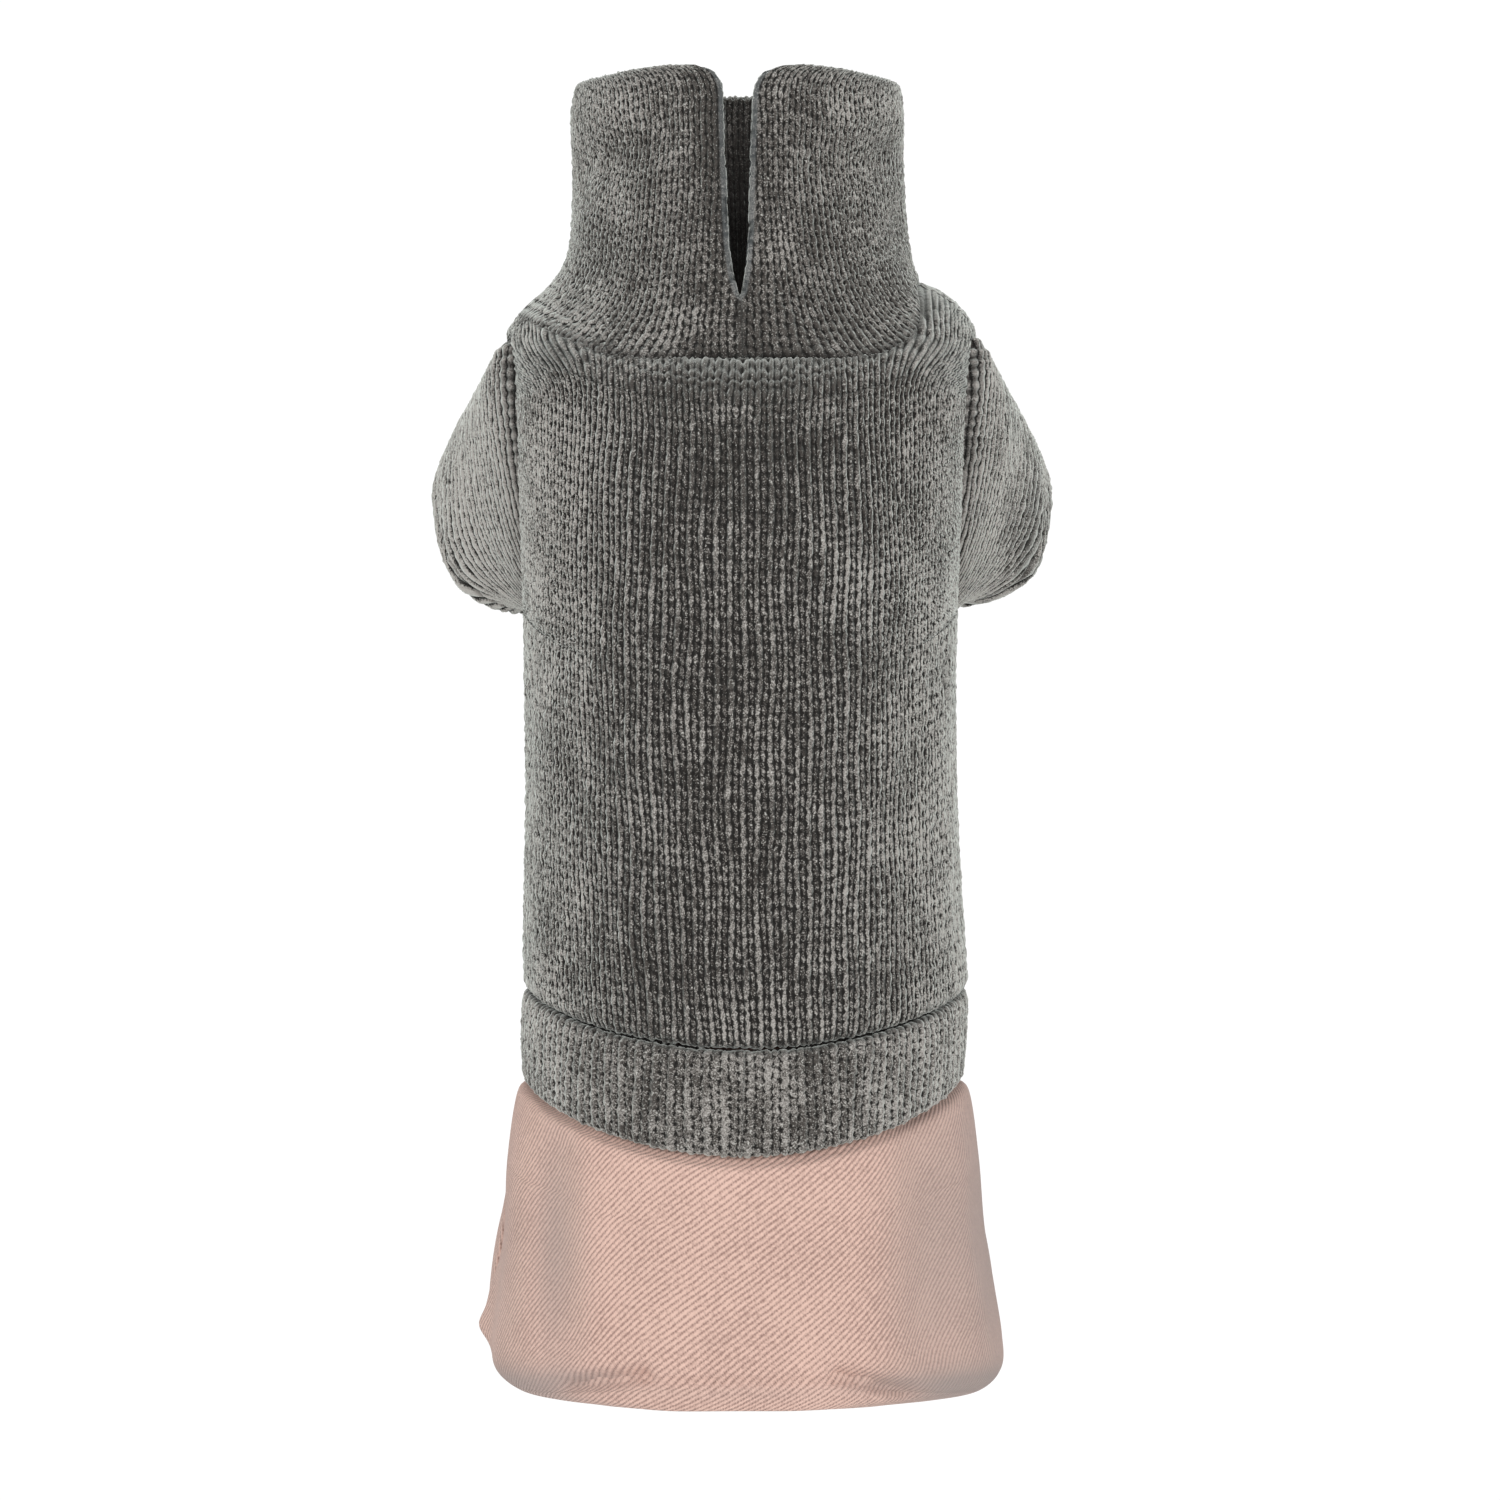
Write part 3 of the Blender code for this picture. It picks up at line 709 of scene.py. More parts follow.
def knit_material():
    """Grey chenille: painted shade between its stitches, patches where the pile lies light, and
    painted sheen and glints.
    """
    made, tree, shader = new_material("chenille_knit", DARK_NAP)
    place = add(tree, "ShaderNodeTexCoord").outputs["Object"]
    high, chance = stitch_nodes(tree)
    fibre = noise(tree, place, 1300, 3, 0.7)
    grain = noise(tree, place, 2300, 1)
    clouds = noise(tree, place, 62, 3, 0.6) * 2 + noise(tree, place, 330, 3, 0.6) * 0.8
    # nap takes in the tone mark, which holds painted sheen and painted shade besides the pile's
    # mottling.
    nap = clouds + attribute(tree, "tone") + chance * 0.42 + fibre * 2 + grain * 2.4
    top = mix((nap - NAP_LEVEL).from_0_to_1(), DARK_NAP, LIGHT_NAP)
    # Painted sheen, lighter toward grazing angles, and painted glints where the finest noise peaks.
    facing = Number(tree, add(tree, "ShaderNodeLayerWeight", Blend=0.35).outputs["Facing"])
    top = mix(facing**1.6 * 0.75, top, SHEEN_COLOUR)
    painted_glints = (grain * 9 - 5.6).from_0_to_1()
    top = mix(painted_glints * 0.55, top, SHEEN_COLOUR)
    # The lower a point lies in its stitch, the more painted shade of the pits it gets.
    height = ((high + fibre * 0.9 + grain * 0.9) * 2.4 - 2.85).from_0_to_1()
    # The seam mark adds painted shade: along edges, in the sleeves' gathers and hem stitching, and
    # deep inside the collar.
    colour = mix(height * attribute(tree, "seam"), PIT_SHADE_COLOUR, top)
    # A painted highlight along the collar's split edges.
    colour = mix(attribute(tree, "edge_sheen"), colour, EDGE_SHEEN_COLOUR)
    set_inputs(shader, Roughness=0.92, Specular_IOR_Level=0.15, Sheen_Weight=1.0,
               Sheen_Roughness=0.38, Sheen_Tint=(0.89, 0.93, 0.88, 1))
    cover(shader, colour, high + fibre * 0.5, 0.55, 0.7 * MM)
    return made


TWILL_LIGHT = (0.70, 0.475, 0.40)
TWILL_DARK = (0.36, 0.225, 0.19)
TWILL_PAINTED_SHADE_COLOUR = (0.36, 0.285, 0.262)
TWILL_SEAM_SHADE_COLOUR = (0.42, 0.28, 0.235)
# Painted shade on the pants where the waist band covers them.
UNDER_BAND_SHADE_COLOUR = (0.035, 0.030, 0.028)
TWILL_PITCH = 1.5       # mm from cord to cord
TWILL_SLOPE = 37
THREAD_STEP = 0.51      # of a cord's pitch, from thread to thread along it


def twill_material():
    """Pink cotton twill: fine diagonal cords with small dark dots between them."""
    made, tree, shader = new_material("pink_twill", TWILL_LIGHT)
    place = add(tree, "ShaderNodeUVMap", uv_map="cloth").outputs["UV"]
    solid = add(tree, "ShaderNodeTexCoord").outputs["Object"]
    turned = add(tree, "ShaderNodeMapping", Rotation=(0, 0, math.radians(-TWILL_SLOPE)))
    tree.links.new(place, turned.inputs["Vector"])
    along, over = split(tree, turned.outputs["Vector"])
    phase = over * (2 * math.pi / TWILL_PITCH)
    cords = ((noise(tree, place, 0.12) * 3 + phase).sine() * 0.5 + 0.5) ** 0.45
    threads = along * (2 * math.pi / (THREAD_STEP * TWILL_PITCH)) - phase * 0.5
    dots = (cords * -1 + 1) * (threads.sine() * 0.5 + 0.5)
    weave = cords - dots * 0.9
    level = weave * 0.8 + noise(tree, solid, 45, 3) * 0.9 + noise(tree, solid, 1900)
    level = ((level + noise(tree, solid, 1250, 1) * 1.9) * 0.75 - 1.08).from_0_to_1()
    colour = mix(level, TWILL_DARK, TWILL_LIGHT)
    # Painted shade from the tone mark.
    colour = mix(attribute(tree, "tone"), colour, TWILL_PAINTED_SHADE_COLOUR)
    # Painted shade along the edges rolled into the seams.
    colour = mix(attribute(tree, "seam"), TWILL_SEAM_SHADE_COLOUR, colour)
    # Painted shade where the waist band covers the pants.
    colour = mix(attribute(tree, "under"), colour, UNDER_BAND_SHADE_COLOUR)
    set_inputs(shader, Roughness=0.88, Specular_IOR_Level=0.2, Sheen_Weight=0.15,
               Sheen_Roughness=0.5)
    cover(shader, colour, weave, 0.6, 0.4 * MM)
    return made


# ---- Pieces ----

Tube = namedtuple("Tube", "sections folds hole wall gap")
BODY_TUBE = Tube(BODY, BODY_FOLDS, ARMHOLE, KNIT_WALL, PLUG_GAP)
PANTS_TUBE = Tube(PANTS, PANTS_FOLDS, LEG_HOLE, TWILL_WALL, LEG_GAP)
STEP = 0.05


def neck_place(angles):
    """The section place at which the body meets the collar."""
    turns, places = np.array(NECK_SEAM).T
    turn = (np.asarray(angles) + 180) % 360 - 180
    after = np.clip(np.searchsorted(turns, turn, side="right"), 1, len(turns) - 1)
    before = after - 1
    share = (turn - turns[before]) / (turns[after] - turns[before])
    ease = (1 - np.cos(np.pi * share)) / 2
    return places[before] + ease * (places[after] - places[before])


def below_neck(places, angles):
    """The body's places, drawn down to the neck seam above the tops of the armholes."""
    return places + neck_place(angles) * np.clip(1 - places / ARMHOLE.first, 0, 1)


def seam_angles(hole, places, start_angle):
    """The angles of a hole's two edges, which are one seam above it and below it."""
    share = np.clip((places - hole.first) / (hole.last - hole.first), 0, 1)
    above = np.clip(1 - places / hole.first, 0, 1) ** SHOULDER_CURVE
    middle = hole.top_angle + (hole.bottom_angle - hole.top_angle) * share
    middle = middle + (start_angle - hole.top_angle) * above
    swell = 2 * np.sqrt(share * (1 - share))
    return middle - hole.back_reach * swell, middle + hole.belly_reach * swell


def panel(tube, places, columns, of_back):
    """One panel of the body or pants: its points, and the section place and angle of each."""
    gap = np.degrees(SEAM_GAP / 2 / section_at(tube.sections, places).half_width)
    left_back, left_belly = seam_angles(tube.hole, places, tube.hole.left_start)
    right_back, right_belly = seam_angles(tube.hole, places, tube.hole.right_start)
    if of_back:
        left, right = -left_back + gap, right_back - gap
    else:
        left, right = right_belly + gap, 360 - left_belly - gap
    angles = left[:, None] + (right - left)[:, None] * np.linspace(0, 1, columns)
    places = places[:, None] + 0 * angles
    if tube.sections is BODY:
        places = below_neck(places, angles)
    return surface(tube.sections, tube.folds, places, angles), places, angles


def edges_of(grid, closed):
    """How far each point is from the grid's first row, its nearest side and its nearest edge."""
    down, across = along_columns(grid), along_rows(grid)
    side = np.minimum(across, across[:, -1:] - across)
    ends = np.minimum(down, down[-1] - down)
    return down, side, ends if closed else np.minimum(ends, side)


# Above the armholes the back's wales stand upright, and spread out to each shoulder's tip.
UPRIGHT_FROM, UPRIGHT_BY = -46, -33
FAN_START = 35          # from the middle
FAN_WIDTH = 24
FAN_SHIFT = 8.5
FAN_BOTTOM, FAN_TOP = -30, -11


def wale_angles(angles, grid):
    """The angle further down of the wale that each point of the back lies on."""
    around = np.linspace(-90, 90, 721)
    ring = surface(BODY, [], 2.5, around)
    x, z = grid[..., 0], grid[..., 2]
    out = smooth((np.abs(x) - FAN_START) / FAN_WIDTH)
    rise = smooth((z - FAN_BOTTOM) / (FAN_TOP - FAN_BOTTOM))
    upright = np.interp(x - np.sign(x) * FAN_SHIFT * out * rise, ring[:, 0], around)
    return angles + (upright - angles) * smooth((z - UPRIGHT_FROM) / (UPRIGHT_BY - UPRIGHT_FROM))


RIBBED_TO, RIBBED_FADE = 26, 22     # from the middle, where the ribs fade out
RIBBED_TOP, RIBBED_RISE = -28, 18   # below which they fade in


def body_panel(name, step, columns, of_back, look):
    """The back or the belly of the sweater."""
    places = tube_places(BODY_TUBE, step, step)
    grid, places, angles = panel(BODY_TUBE, places, columns, of_back)
    flow = wale_angles(angles, grid) if of_back else angles
    across = girth(BODY, ARMHOLE.last, flow)
    down = np.interp(places, np.arange(len(BODY)), [-row.back_z for row in BODY])
    inward = 1 - smooth((np.abs(grid[..., 0]) - RIBBED_TO) / RIBBED_FADE)
    ribbed = 0.25 + 0.75 * inward * smooth((RIBBED_TOP - grid[..., 2]) / RIBBED_RISE)
    stitches = Stitches(ribbed, 0.95 - 0.15 * inward)
    return finish_knit(name, grid, across, down, look, False, stitches)


DENSE_PASSES = 5


Patch = namedtuple("Patch", "x z half_width half_height tone")


def patches_at(grid, patches):
    """The sum of all the soft patches at each point of a grid."""
    return sum(patch.tone * bump(grid[..., 0] - patch.x, patch.half_width)
               * bump(grid[..., 2] - patch.z, patch.half_height) for patch in patches)


def finish_knit(name, grid, across, down, look, closed, stitches, seam=1.0, lift=0.0,
                tone=0.0, edge_sheen=0.0, joined=None, hidden_rows=None):
    """A knit piece from its grid and the cloth's own sizes, with its edges rolled in."""
    relief, weave = knit(across, down, len(name), stitches)
    top, _, edge = edges_of(grid, closed)
    # Where rows lie close together, the relief is made as smooth as it is elsewhere.
    dense = 1 - np.minimum(np.abs(np.gradient(top, axis=0)) / FULL_FUZZ_STEP, 1)
    for _ in range(DENSE_PASSES):
        beside = (np.roll(relief, 1, 0) + np.roll(relief, -1, 0)) / 2
        relief = relief + dense * (beside - relief) / 2
    fuzz = np.random.default_rng(len(name)).normal(0, FUZZ, relief.shape) * (1 - dense)
    height = (relief + fuzz) * (1 - 0.4 * bump(edge, 1.0)) - 0.3 * bump(edge, 1.2) + lift
    marks = {
        # tone: the pile's mottling with painted sheen along the sides, plus the tone that the piece
        # passes in
        "tone": patches_at(grid, NAP_AND_SHEEN) + tone,
        # seam: painted shade along every edge, except under the edge sheen, times the piece's own
        # painted shade
        "seam": np.clip(seam * (1 - 0.55 * bump(edge, 1.2) * (1 - edge_sheen)), 0, 1),
        "edge_sheen": edge_sheen,
        "ribbed": stitches.ribbed,
        "side_drop": stitches.side_drop,
        "pits": stitches.pits,
    }
    marks = {key: value + 0 * relief for key, value in marks.items()}
    piece = shell(name, grid, height, KNIT_WALL, look, closed, marks, weave, joined, hidden_rows)
    return declare(piece, grid, closed)


# Patches where the knit is lighter or darker: the pile's own mottling, with painted sheen along the
# body's sides.
NAP_AND_SHEEN = [
    Patch(-60, -110, 10, 90, 0.25),
    Patch(60, -110, 10, 90, 0.25),
    Patch(-78, -60, 12, 40, 0.40),
    Patch(80, -69, 6, 15, -0.60),
    Patch(84, -55, 7, 40, -0.40),
    Patch(-46, -95, 12, 45, 0.25),
    Patch(48, -95, 12, 45, 0.15),
    Patch(52, -165, 12, 35, 0.35),
    Patch(0, -45, 34, 22, -0.22),
    Patch(0, -190, 30, 14, 0.20),
    Patch(22, 8, 16, 16, -0.25),
    Patch(-52, -10, 12, 12, 0.20),
    Patch(0, -26, 24, 6, -0.73),
    Patch(14, -15, 22, 7, -0.33),
    Patch(-47, -52, 9, 18, 0.53),
    Patch(-42, -101, 5, 6, -0.44),
    Patch(-53, -127, 7, 9, -0.48),
    Patch(31, -77, 8, 10, 0.36),
    Patch(28, -152, 12, 20, 0.34),
    Patch(-53, -196, 8, 9, 0.50),
    Patch(28, -199, 10, 7, 0.48),
    Patch(-22, -217, 16, 9, -0.47),
    Patch(6, -219, 8, 10, 0.27),
    Patch(-40, 42, 8, 16, 0.28),
    Patch(-32, 50, 6, 5, 0.30),
    Patch(28, 50, 10, 6, 0.32),
    Patch(-10, 36, 6, 16, -0.28),
    Patch(44, 5, 6, 8, -0.66),
    Patch(28, -6, 11, 7, -0.36),
]


BAND_STITCHES = Stitches(0.6, 0.4, 4.9, 2.7, 0.6)
BAND_TONE = 0.13


def band_piece(look):
    """The folded knit band round the waist."""
    places = even_places(BAND, 0, len(BAND) - 1, 0.75)
    angles = np.linspace(0, 360, 800, endpoint=False)
    grid = surface(BAND, [], places[:, None], angles)
    back = list(range(len(grid) - 2, len(grid) // 3, -3))
    grid = fold_under(grid, True, KNIT_WALL, back)
    across = girth(BAND, 1, angles)[None, :] + np.zeros((len(grid), 1))
    return finish_knit("knit_waist_band", grid, across, along_columns(grid), look, True,
                       BAND_STITCHES, tone=BAND_TONE)


def pulled_in(grid, insets):
    """The grid with both ends of each row drawn in along the row by that row's inset."""
    pulled = []
    for row, inset in zip(grid, insets):
        along = line_lengths(row)
        wanted = inset + along * (1 - 2 * inset / along[-1])
        pulled.append(np.stack([np.interp(wanted, along, axis) for axis in row.T], -1))
    return np.array(pulled)


FOOT_FAN = 0.26         # share by which the collar's wales spread at its foot
FOOT_FAN_TOP = 34       # above it they stand upright
FOOT_FAN_HEIGHT = 56
FAN_DEPTH = 25          # over the back half only
COLLAR_RISE = 1.7       # of the fold's lobes beside the split, above the model's
LOBES_TO, LOBES_FADE = 44, 26       # from the middle
LOBES_FROM, LOBES_HEIGHT = 36, 22   # above the neck
SPLIT_EDGE_SHEEN = 0.18       # how much lighter the split's edges are, as a painted highlight
SPLIT_PAINTED_SHADE = -0.25      # painted shade on the cloth beside them, under the turned edge
INSIDE_LIGHT = 0.12     # how much light falls deep inside, and how much more at the top
INSIDE_MORE = 0.5
COLLAR_STITCHES = Stitches(0.3, 0.6, 3.3, 2.9)


def collar_piece(look):
    """The funnel collar, folded double over its top and split down the middle of the back."""
    places = even_places(COLLAR, 0, len(COLLAR) - 1, 0.7)
    radius = section_at(COLLAR, places).back_depth
    edges = Split(*np.array(SPLIT).T)
    left = np.degrees(np.interp(places, edges.section, edges.left_edge) / radius)
    right = np.degrees(np.interp(places, edges.section, edges.right_edge) / radius)
    angles = right[:, None] + (360 + left - right)[:, None] * np.linspace(0, 1, 560)
    grid = surface(COLLAR, COLLAR_FOLDS, places[:, None], angles)
    # Its foot follows the neck seam, a gap above the body.
    body_at, neck = partial(surface, BODY, BODY_FOLDS), neck_place(angles[0])
    seam = body_at(neck, angles[0])
    along = body_at(neck_place(angles[0] + STEP), angles[0] + STEP) - seam
    upward = unit(np.cross(np.cross(body_at(neck + STEP, angles[0]) - seam, along), along))
    raised = SEAM_GAP * (1 + neck[:, None]) * upward
    spread = np.clip(1 - places / COLLAR_SPREAD, 0, 1)[:, None, None] ** SPREAD_POWER
    grid = (grid + spread * (seam + raised - grid[0]))[:, ::-1]
    rows = len(grid)
    back = [*range(rows - 2, 0, -4), 0]
    grid = fold_under(grid, False, KNIT_WALL, back)
    # The top corners beside the split are round, and below the split the two ends are one.
    height = grid[:, 0, 2]
    rise = np.clip(1 - (height.max() - height) / SPLIT_CORNER, 0, 1)
    grid = pulled_in(grid, SPLIT_CORNER * (1 - np.sqrt(1 - rise**2)))
    foot = int(np.argmax(places > SPLIT_FOOT))
    inner_foot = rows + FOLD_STEPS + sum(row >= foot for row in back)
    joined = np.zeros(len(grid), bool)
    joined[:foot] = joined[inner_foot:] = True
    grid[joined, 0] = grid[joined, -1] = (grid[joined, 0] + grid[joined, -1]) / 2
    # The wales spread towards the shoulders.
    across, down = girth(COLLAR, 4, carried(angles[:, ::-1], back)), along_columns(grid)
    fan = FOOT_FAN * smooth((FOOT_FAN_TOP - grid[..., 2]) / FOOT_FAN_HEIGHT)
    across = across - grid[..., 0] * fan * smooth((FAN_DEPTH - grid[..., 1]) / FAN_DEPTH)
    grid = creased(grid, COLLAR_CREASES)
    lobes = smooth((LOBES_TO - np.abs(grid[..., 0])) / LOBES_FADE)
    grid[..., 2] += COLLAR_RISE * lobes * smooth((grid[..., 2] - LOBES_FROM) / LOBES_HEIGHT)
    fold_rows = (rows - 1, rows + FOLD_STEPS // 2 - 1, rows + FOLD_STEPS - 1)
    hidden_rows = spaced(len(grid), HIDDEN_STEP, [foot - 1, *fold_rows, inner_foot])
    side = edges_of(grid, False)[1]
    # A painted highlight along the split's edges.
    edge_sheen = SPLIT_EDGE_SHEEN * bump(side, 0.3) * ~joined[:, None]
    # Painted shade on the cloth just beside the split's edges.
    tone = SPLIT_PAINTED_SHADE * bump(side - 3.0, 2.2) * ~joined[:, None]
    # Painted shade on the collar's inner face, darkest deep inside.
    inside = np.arange(len(grid))[:, None] >= rows + FOLD_STEPS // 2
    dim = INSIDE_LIGHT + INSIDE_MORE * smooth((grid[..., 2] - 30) / 28)
    return finish_knit("knit_collar", grid, across, -down, look, False, COLLAR_STITCHES,
                       seam=np.where(inside, dim, 1.0), tone=tone, edge_sheen=edge_sheen, joined=joined,
                       hidden_rows=hidden_rows)


def hole_rim(tube, steps):
    """The rim of the sleeve or leg in its hole at +X, and which way the cloth faces there.

    Its points are closest together at the top and bottom of the hole.
    """
    share = (1 - np.cos(np.linspace(0, np.pi, steps + 1))) / 2
    places = tube.hole.first + (tube.hole.last - tube.hole.first) * share
    back_edge, belly_edge = seam_angles(tube.hole, places, tube.hole.right_start)
    places = np.concatenate([places, places[-2:0:-1]])
    angles = np.concatenate([back_edge, belly_edge[-2:0:-1]])
    rim = surface(tube.sections, tube.folds, places, angles)
    across = surface(tube.sections, tube.folds, places, angles + STEP) - rim
    down = surface(tube.sections, tube.folds, places + STEP, angles) - rim
    normal = unit(np.cross(down, across))
    inward = rim.mean(0) - rim
    inward -= normal * (inward * normal).sum(-1, keepdims=True)
    return rim + tube.gap * unit(inward), normal


def end_ring(shape, columns):
    """The ring at the end of a sleeve or leg at +X, from its top round its outer side."""
    axis = unit(np.array(shape.axis))
    up = unit(np.array([0, 0, 1]) - axis[2] * axis)
    outward = np.cross(axis, up)
    turn = np.linspace(0, 2 * np.pi, columns, endpoint=False)[:, None]
    above, aside = np.cos(turn), np.sin(turn)
    outer_side = aside > 0
    power = np.where(outer_side, 2 / OUTER_SQUARENESS, 1)
    above = np.sign(above) * np.abs(above) ** power * shape.tall
    aside = np.sign(aside) * np.abs(aside) ** power * np.where(outer_side, shape.outer, shape.inner)
    return np.array(shape.end) + above * up + aside * outward, axis


def limb_grid(tube, shape, steps, rows):
    """A sleeve or leg at +X from the rim of its hole to its end, with two more rows within."""
    rim, normal = hole_rim(tube, steps)
    end, axis = end_ring(shape, len(rim))
    start = rim + OVER_RIM * normal
    length = np.linalg.norm(end - start, axis=-1, keepdims=True)
    near_top = np.clip(1 - (start[:, 2].max() - start[:, 2]) / SLOPE_REACH, 0, 1)
    outward = unit(normal - shape.slope * near_top[:, None] * np.array([0, 0, 1]))
    t = np.linspace(0, 1, rows)[:, None, None]
    grid = (
        (2 * t**3 - 3 * t**2 + 1) * start
        + (t**3 - 2 * t**2 + t) * shape.out * length * outward
        + (3 * t**2 - 2 * t**3) * end
        + (t**3 - t**2) * shape.along * length * axis
    )
    return np.concatenate([[rim - tube.wall * normal, rim], grid])


def limb_piece(tube, shape, side, steps, rows, turned_rows):
    """The folded grid of a sleeve or leg, the turn of each column and each row's share."""
    grid = limb_grid(tube, shape, steps, rows) * np.array([side, 1, 1])
    turn = np.linspace(0, 2, grid.shape[1], endpoint=False)
    if side > 0:
        grid, turn = grid[:, ::-1], turn[::-1]
    last = len(grid) - 1
    back = list(range(last - 1, last - turned_rows, -2))
    share = carried(np.concatenate([[0, 0], np.linspace(0, 1, rows)]), back)
    return fold_under(grid, True, tube.wall, back), turn, share


SLEEVE_AXIS = (52.0, 18.0)     # the upright line that the sleeves' wales fan out from
SLEEVE_FAN = 30                # mm of cloth in a fan's unit angle
EVEN_WALES, EVEN_FROM = 0.8, 26    # past which, towards the belly, the wales lie evenly
SLEEVE_STITCHES = Stitches(0.2, 0.85, 5.2, 3.4, 0.4)
# Painted sheen: the sleeves are lighter all over, as they face sideways and up.
SLEEVE_PAINTED_SHEEN = 0.45
PUCKER_PITCH, PUCKER_REACH, PUCKER_DEPTH = 3.4, 5.0, 1.3
PUCKER_FOOT, PUCKER_RISE = -62, 25    # below it there are none
HEM_STITCHES, HEM_DEPTH = 4.0, 0.9    # how far they lie from the hem, and how deep
HIGHER, HIGHER_BELOW = 2.2, -72       # how much higher the hem of the sleeve at +X hangs
SWING_IN, SWING_OUT, SWING_BELOW = 0.06, 0.34, -46   # how that sleeve's wales swing, low down
PUFF, PUFF_REACH = 1.2, 6.0           # how far a sleeve's cap stands out over its armhole
PUFF_FOOT, PUFF_RISE = -40, 14
SLEEVE_STEPS, SLEEVE_ROWS, SLEEVE_TURNED = 165, 110, 20


def sleeve_piece(side, word, look):
    """A short knit sleeve with its turned hem and its gathers at the armhole."""
    grid, _, share = limb_piece(BODY_TUBE, SLEEVE, side, SLEEVE_STEPS, SLEEVE_ROWS, SLEEVE_TURNED)
    if side > 0:
        free = smooth(share / 0.6)[:, None]
        grid[..., 2] += HIGHER * free * smooth((HIGHER_BELOW - grid[..., 2]) / 18)
    x, y, z = grid[..., 0] * side - SLEEVE_AXIS[0], grid[..., 1] - SLEEVE_AXIS[1], grid[..., 2]
    across = SLEEVE_FAN * np.arctan2(x, -y) + EVEN_WALES * np.maximum(y - EVEN_FROM, 0)
    if side > 0:
        swing = SWING_OUT * smooth((x - 8) / 22) - SWING_IN
        across = across + swing * np.maximum(SWING_BELOW - z, 0)
    down = along_columns(grid)
    to_hem = down[1 + SLEEVE_ROWS] - down
    shown = down < to_hem
    wave = np.sin(2 * np.pi * z / PUCKER_PITCH + 1.5 * soft_noise(z / 9, x / 9, 43 + side))
    gathers = bump(np.maximum(down - 2.5, 0), PUCKER_REACH) * shown * (0.5 + 0.5 * wave)
    gathers = gathers * smooth((z - PUCKER_FOOT) / PUCKER_RISE)
    cap = bump(np.maximum(down - 2.0, 0), PUFF_REACH) * smooth((z - PUFF_FOOT) / PUFF_RISE) * shown
    stitched = to_hem - HEM_STITCHES
    lift = PUFF * cap - PUCKER_DEPTH * gathers - HEM_DEPTH * bump(stitched, 0.7)
    # Painted shade along the hem's stitching and in the gathers.
    seam = (1 - 0.6 * bump(stitched, 0.6)) * (1 - 0.75 * gathers)
    return finish_knit(f"knit_sleeve_{word}", grid, across, 0.35 * x - 0.15 * y - z, look, True,
                       SLEEVE_STITCHES, seam=seam, lift=lift, tone=SLEEVE_PAINTED_SHEEN)


# Painted shade on the twill: along its folds and sides, at its lower corners and in its hem
# creases.
TWILL_PAINTED_SHADE_PATCHES = [
    Patch(-51, -262, 6, 32, 0.55),
    Patch(-66, -270, 7, 40, 0.25),
    Patch(-60, -300, 16, 5, 0.75),
    Patch(-40, -297, 11, 2.5, 0.45),
    Patch(54, -262, 13, 50, 0.55),
    Patch(72, -250, 9, 60, 0.75),
    Patch(61, -300, 16, 5, 0.75),
    Patch(39, -298, 11, 2.5, 0.40),
    Patch(0, -300, 34, 3, 0.15),
]


def twill_piece(name, grid, across, up, look, closed, under=0.0):
    """A piece of the pants, with its edges rolled into its seams."""
    edge = edges_of(grid, closed)[2]
    # seam: painted shade along the edges rolled into the seams.
    marks = {"seam": np.clip(1 - 0.3 * bump(edge, 1.0), 0, 1), "under": under + 0 * edge,
             # tone: painted shade from the patches
             "tone": np.clip(patches_at(grid, TWILL_PAINTED_SHADE_PATCHES), 0, 1)}
    weave = np.stack([across, up], -1)
    roll = -0.35 * bump(edge, 1.2)
    piece = shell(name, grid, roll, TWILL_WALL, look, closed, marks, weave)
    return declare(piece, grid, closed)


GRAIN_FROM = 22         # from the middle, where the grain starts to turn
GRAIN_TURN = 0.016
SHOWN_FROM = 2.05       # the pants' section below which the band doesn't cover them


def pants_panel(name, columns, of_back, look):
    """The seat or the belly of the pants."""
    places = tube_places(PANTS_TUBE, 0.9, 0.7)
    grid, _, angles = panel(PANTS_TUBE, places, columns, of_back)
    back = list(range(len(grid) - 2, len(grid) - 11, -2))
    across = carried(girth(PANTS, 6, angles), back)
    grid = fold_under(grid, False, TWILL_WALL, back)
    # Painted shade on the rows that the band covers.
    under = np.zeros(grid.shape[:2])
    under[:np.argmax(places > SHOWN_FROM)] = 1
    # The grain turns towards the sides, where the pants fall back.
    beyond = np.maximum(np.abs(grid[..., 0]) - GRAIN_FROM, 0)
    across = across + np.sign(grid[..., 0]) * GRAIN_TURN * beyond**2 * of_back
    up = grid[0, :, 2] - along_columns(grid)
    return twill_piece(name, creased(grid, PANTS_CREASES), across, up, look, False, under)


LEG_STEPS, LEG_ROWS, LEG_TURNED = 90, 70, 16
HALF_LEG = 75           # round a leg, in mm of cloth


def leg_piece(side, word, shape, look):
    """A short twill leg with its turned hem."""
    grid, turn, _ = limb_piece(PANTS_TUBE, shape, side, LEG_STEPS, LEG_ROWS, LEG_TURNED)
    across = turn[None, :] * HALF_LEG + np.zeros((len(grid), 1))
    return twill_piece(f"twill_leg_{word}", grid, across, -along_columns(grid), look, True)


# ---- Studio ----

CAMERA_DISTANCE = 1.8
CAMERA_X = 0.00224
CAMERA_Z = -0.126
VIEW_WIDTH = 0.42       # what the photograph's width spans at the object
SENSOR = 36

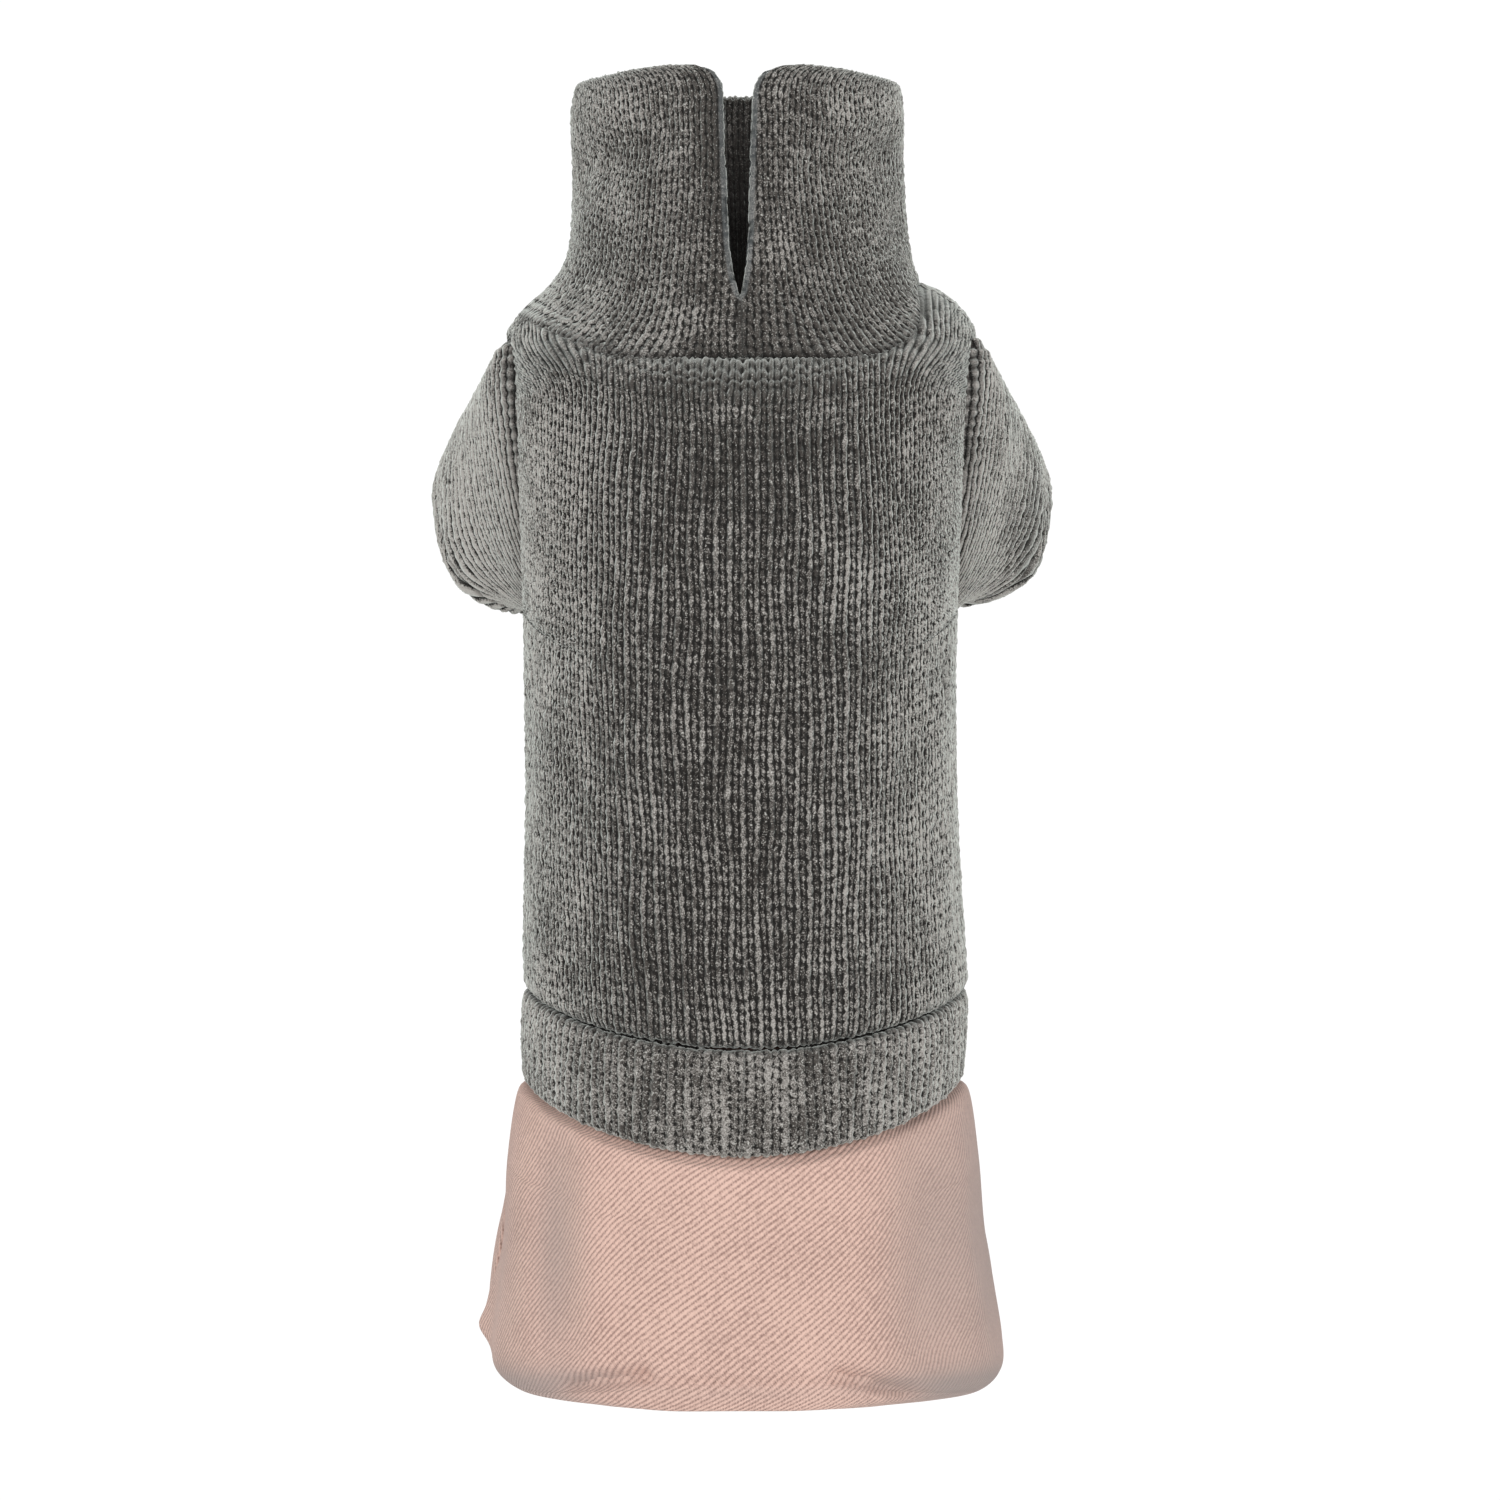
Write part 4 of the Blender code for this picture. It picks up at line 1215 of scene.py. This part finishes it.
Lamp = namedtuple("Lamp", "name place size power colour", defaults=((1, 1, 1),))
COOL_WHITE = (0.95, 1, 0.99)
LAMPS = [
    Lamp("front", (0, -2.2, 0.5), (1.4, 1.4), 20),
    Lamp("left", (-1.9, -0.9, 0.1), (1.0, 1.8), 11, COOL_WHITE),
    Lamp("right", (1.9, -0.9, 0.1), (1.0, 1.8), 11, COOL_WHITE),
    Lamp("top", (0, -0.2, 2.0), (1.4, 1.4), 10),
    Lamp("behind", (0, 2.2, 0.3), (1.4, 1.4), 9),
]
AIM = (0, 0, -0.126)
FLOOR_Z = -0.75


def camera():
    """The camera, level and straight behind the wearer's back."""
    data = bpy.data.cameras.new("camera")
    data.sensor_width = SENSOR
    data.lens = SENSOR * CAMERA_DISTANCE / VIEW_WIDTH
    seen = placed("camera", data)
    seen.location = (CAMERA_X, -CAMERA_DISTANCE, CAMERA_Z)
    seen.rotation_euler = (math.radians(90), 0, 0)
    bpy.context.scene.camera = seen


def soft_light(lamp):
    """A large rectangular lamp that points at the garment."""
    data = bpy.data.lights.new(lamp.name, "AREA")
    data.shape = "RECTANGLE"
    data.size, data.size_y = lamp.size
    data.energy = lamp.power
    data.color = lamp.colour
    made = placed(lamp.name, data)
    made.location = lamp.place
    x, y, z = (place - aim for place, aim in zip(lamp.place, AIM))
    made.rotation_euler = (math.atan2(math.hypot(x, y), z), 0, math.atan2(x, -y))
    made.visible_camera = False


def studio():
    """Soft light from all round, a pale floor far below, and white behind."""
    world = bpy.data.worlds.new("studio")
    bpy.context.scene.world = world
    world.use_nodes = True
    tree = world.node_tree
    shown = tree.nodes["Background"]
    set_inputs(shown, Color=(1, 1, 1, 1), Strength=1.05)
    light = add(tree, "ShaderNodeBackground", Color=(1, 1, 1, 1), Strength=0.55)
    path = add(tree, "ShaderNodeLightPath")
    mix = add(tree, "ShaderNodeMixShader")
    tree.links.new(path.outputs["Is Camera Ray"], mix.inputs[0])
    tree.links.new(light.outputs[0], mix.inputs[1])
    tree.links.new(shown.outputs[0], mix.inputs[2])
    tree.links.new(mix.outputs[0], tree.nodes["World Output"].inputs["Surface"])
    for lamp in LAMPS:
        soft_light(lamp)
    bpy.ops.mesh.primitive_circle_add(vertices=128, radius=3.0, fill_type="NGON",
                                      location=(0, 0, FLOOR_Z))
    floor = bpy.context.object
    floor.name = "floor"
    made, _, shader = new_material("pale_floor", (0.9, 0.9, 0.9))
    set_inputs(shader, Base_Color=(0.93, 0.93, 0.93, 1), Roughness=0.9)
    floor.data.materials.append(made)
    bpy.context.scene.view_settings.view_transform = "Standard"


def main():
    """The garment and its studio."""
    camera()
    studio()
    knit_look = knit_material()
    twill_look = twill_material()
    pieces = {
        "back_panel": body_panel("knit_back_panel", 0.78, 378, True, knit_look),
        "belly_panel": body_panel("knit_belly_panel", 0.95, 330, False, knit_look),
        "collar": collar_piece(knit_look),
        "waist_band": band_piece(knit_look),
        "sleeve_left": sleeve_piece(-1, "left", knit_look),
        "sleeve_right": sleeve_piece(1, "right", knit_look),
        "pants_seat": pants_panel("twill_pants_seat", 260, True, twill_look),
        "pants_belly": pants_panel("twill_pants_belly", 140, False, twill_look),
        "leg_left": leg_piece(-1, "left", LEFT_LEG, twill_look),
        "leg_right": leg_piece(1, "right", RIGHT_LEG, twill_look),
    }
    for node, piece in pieces.items():
        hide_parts(node)
        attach(piece, "root")


main()
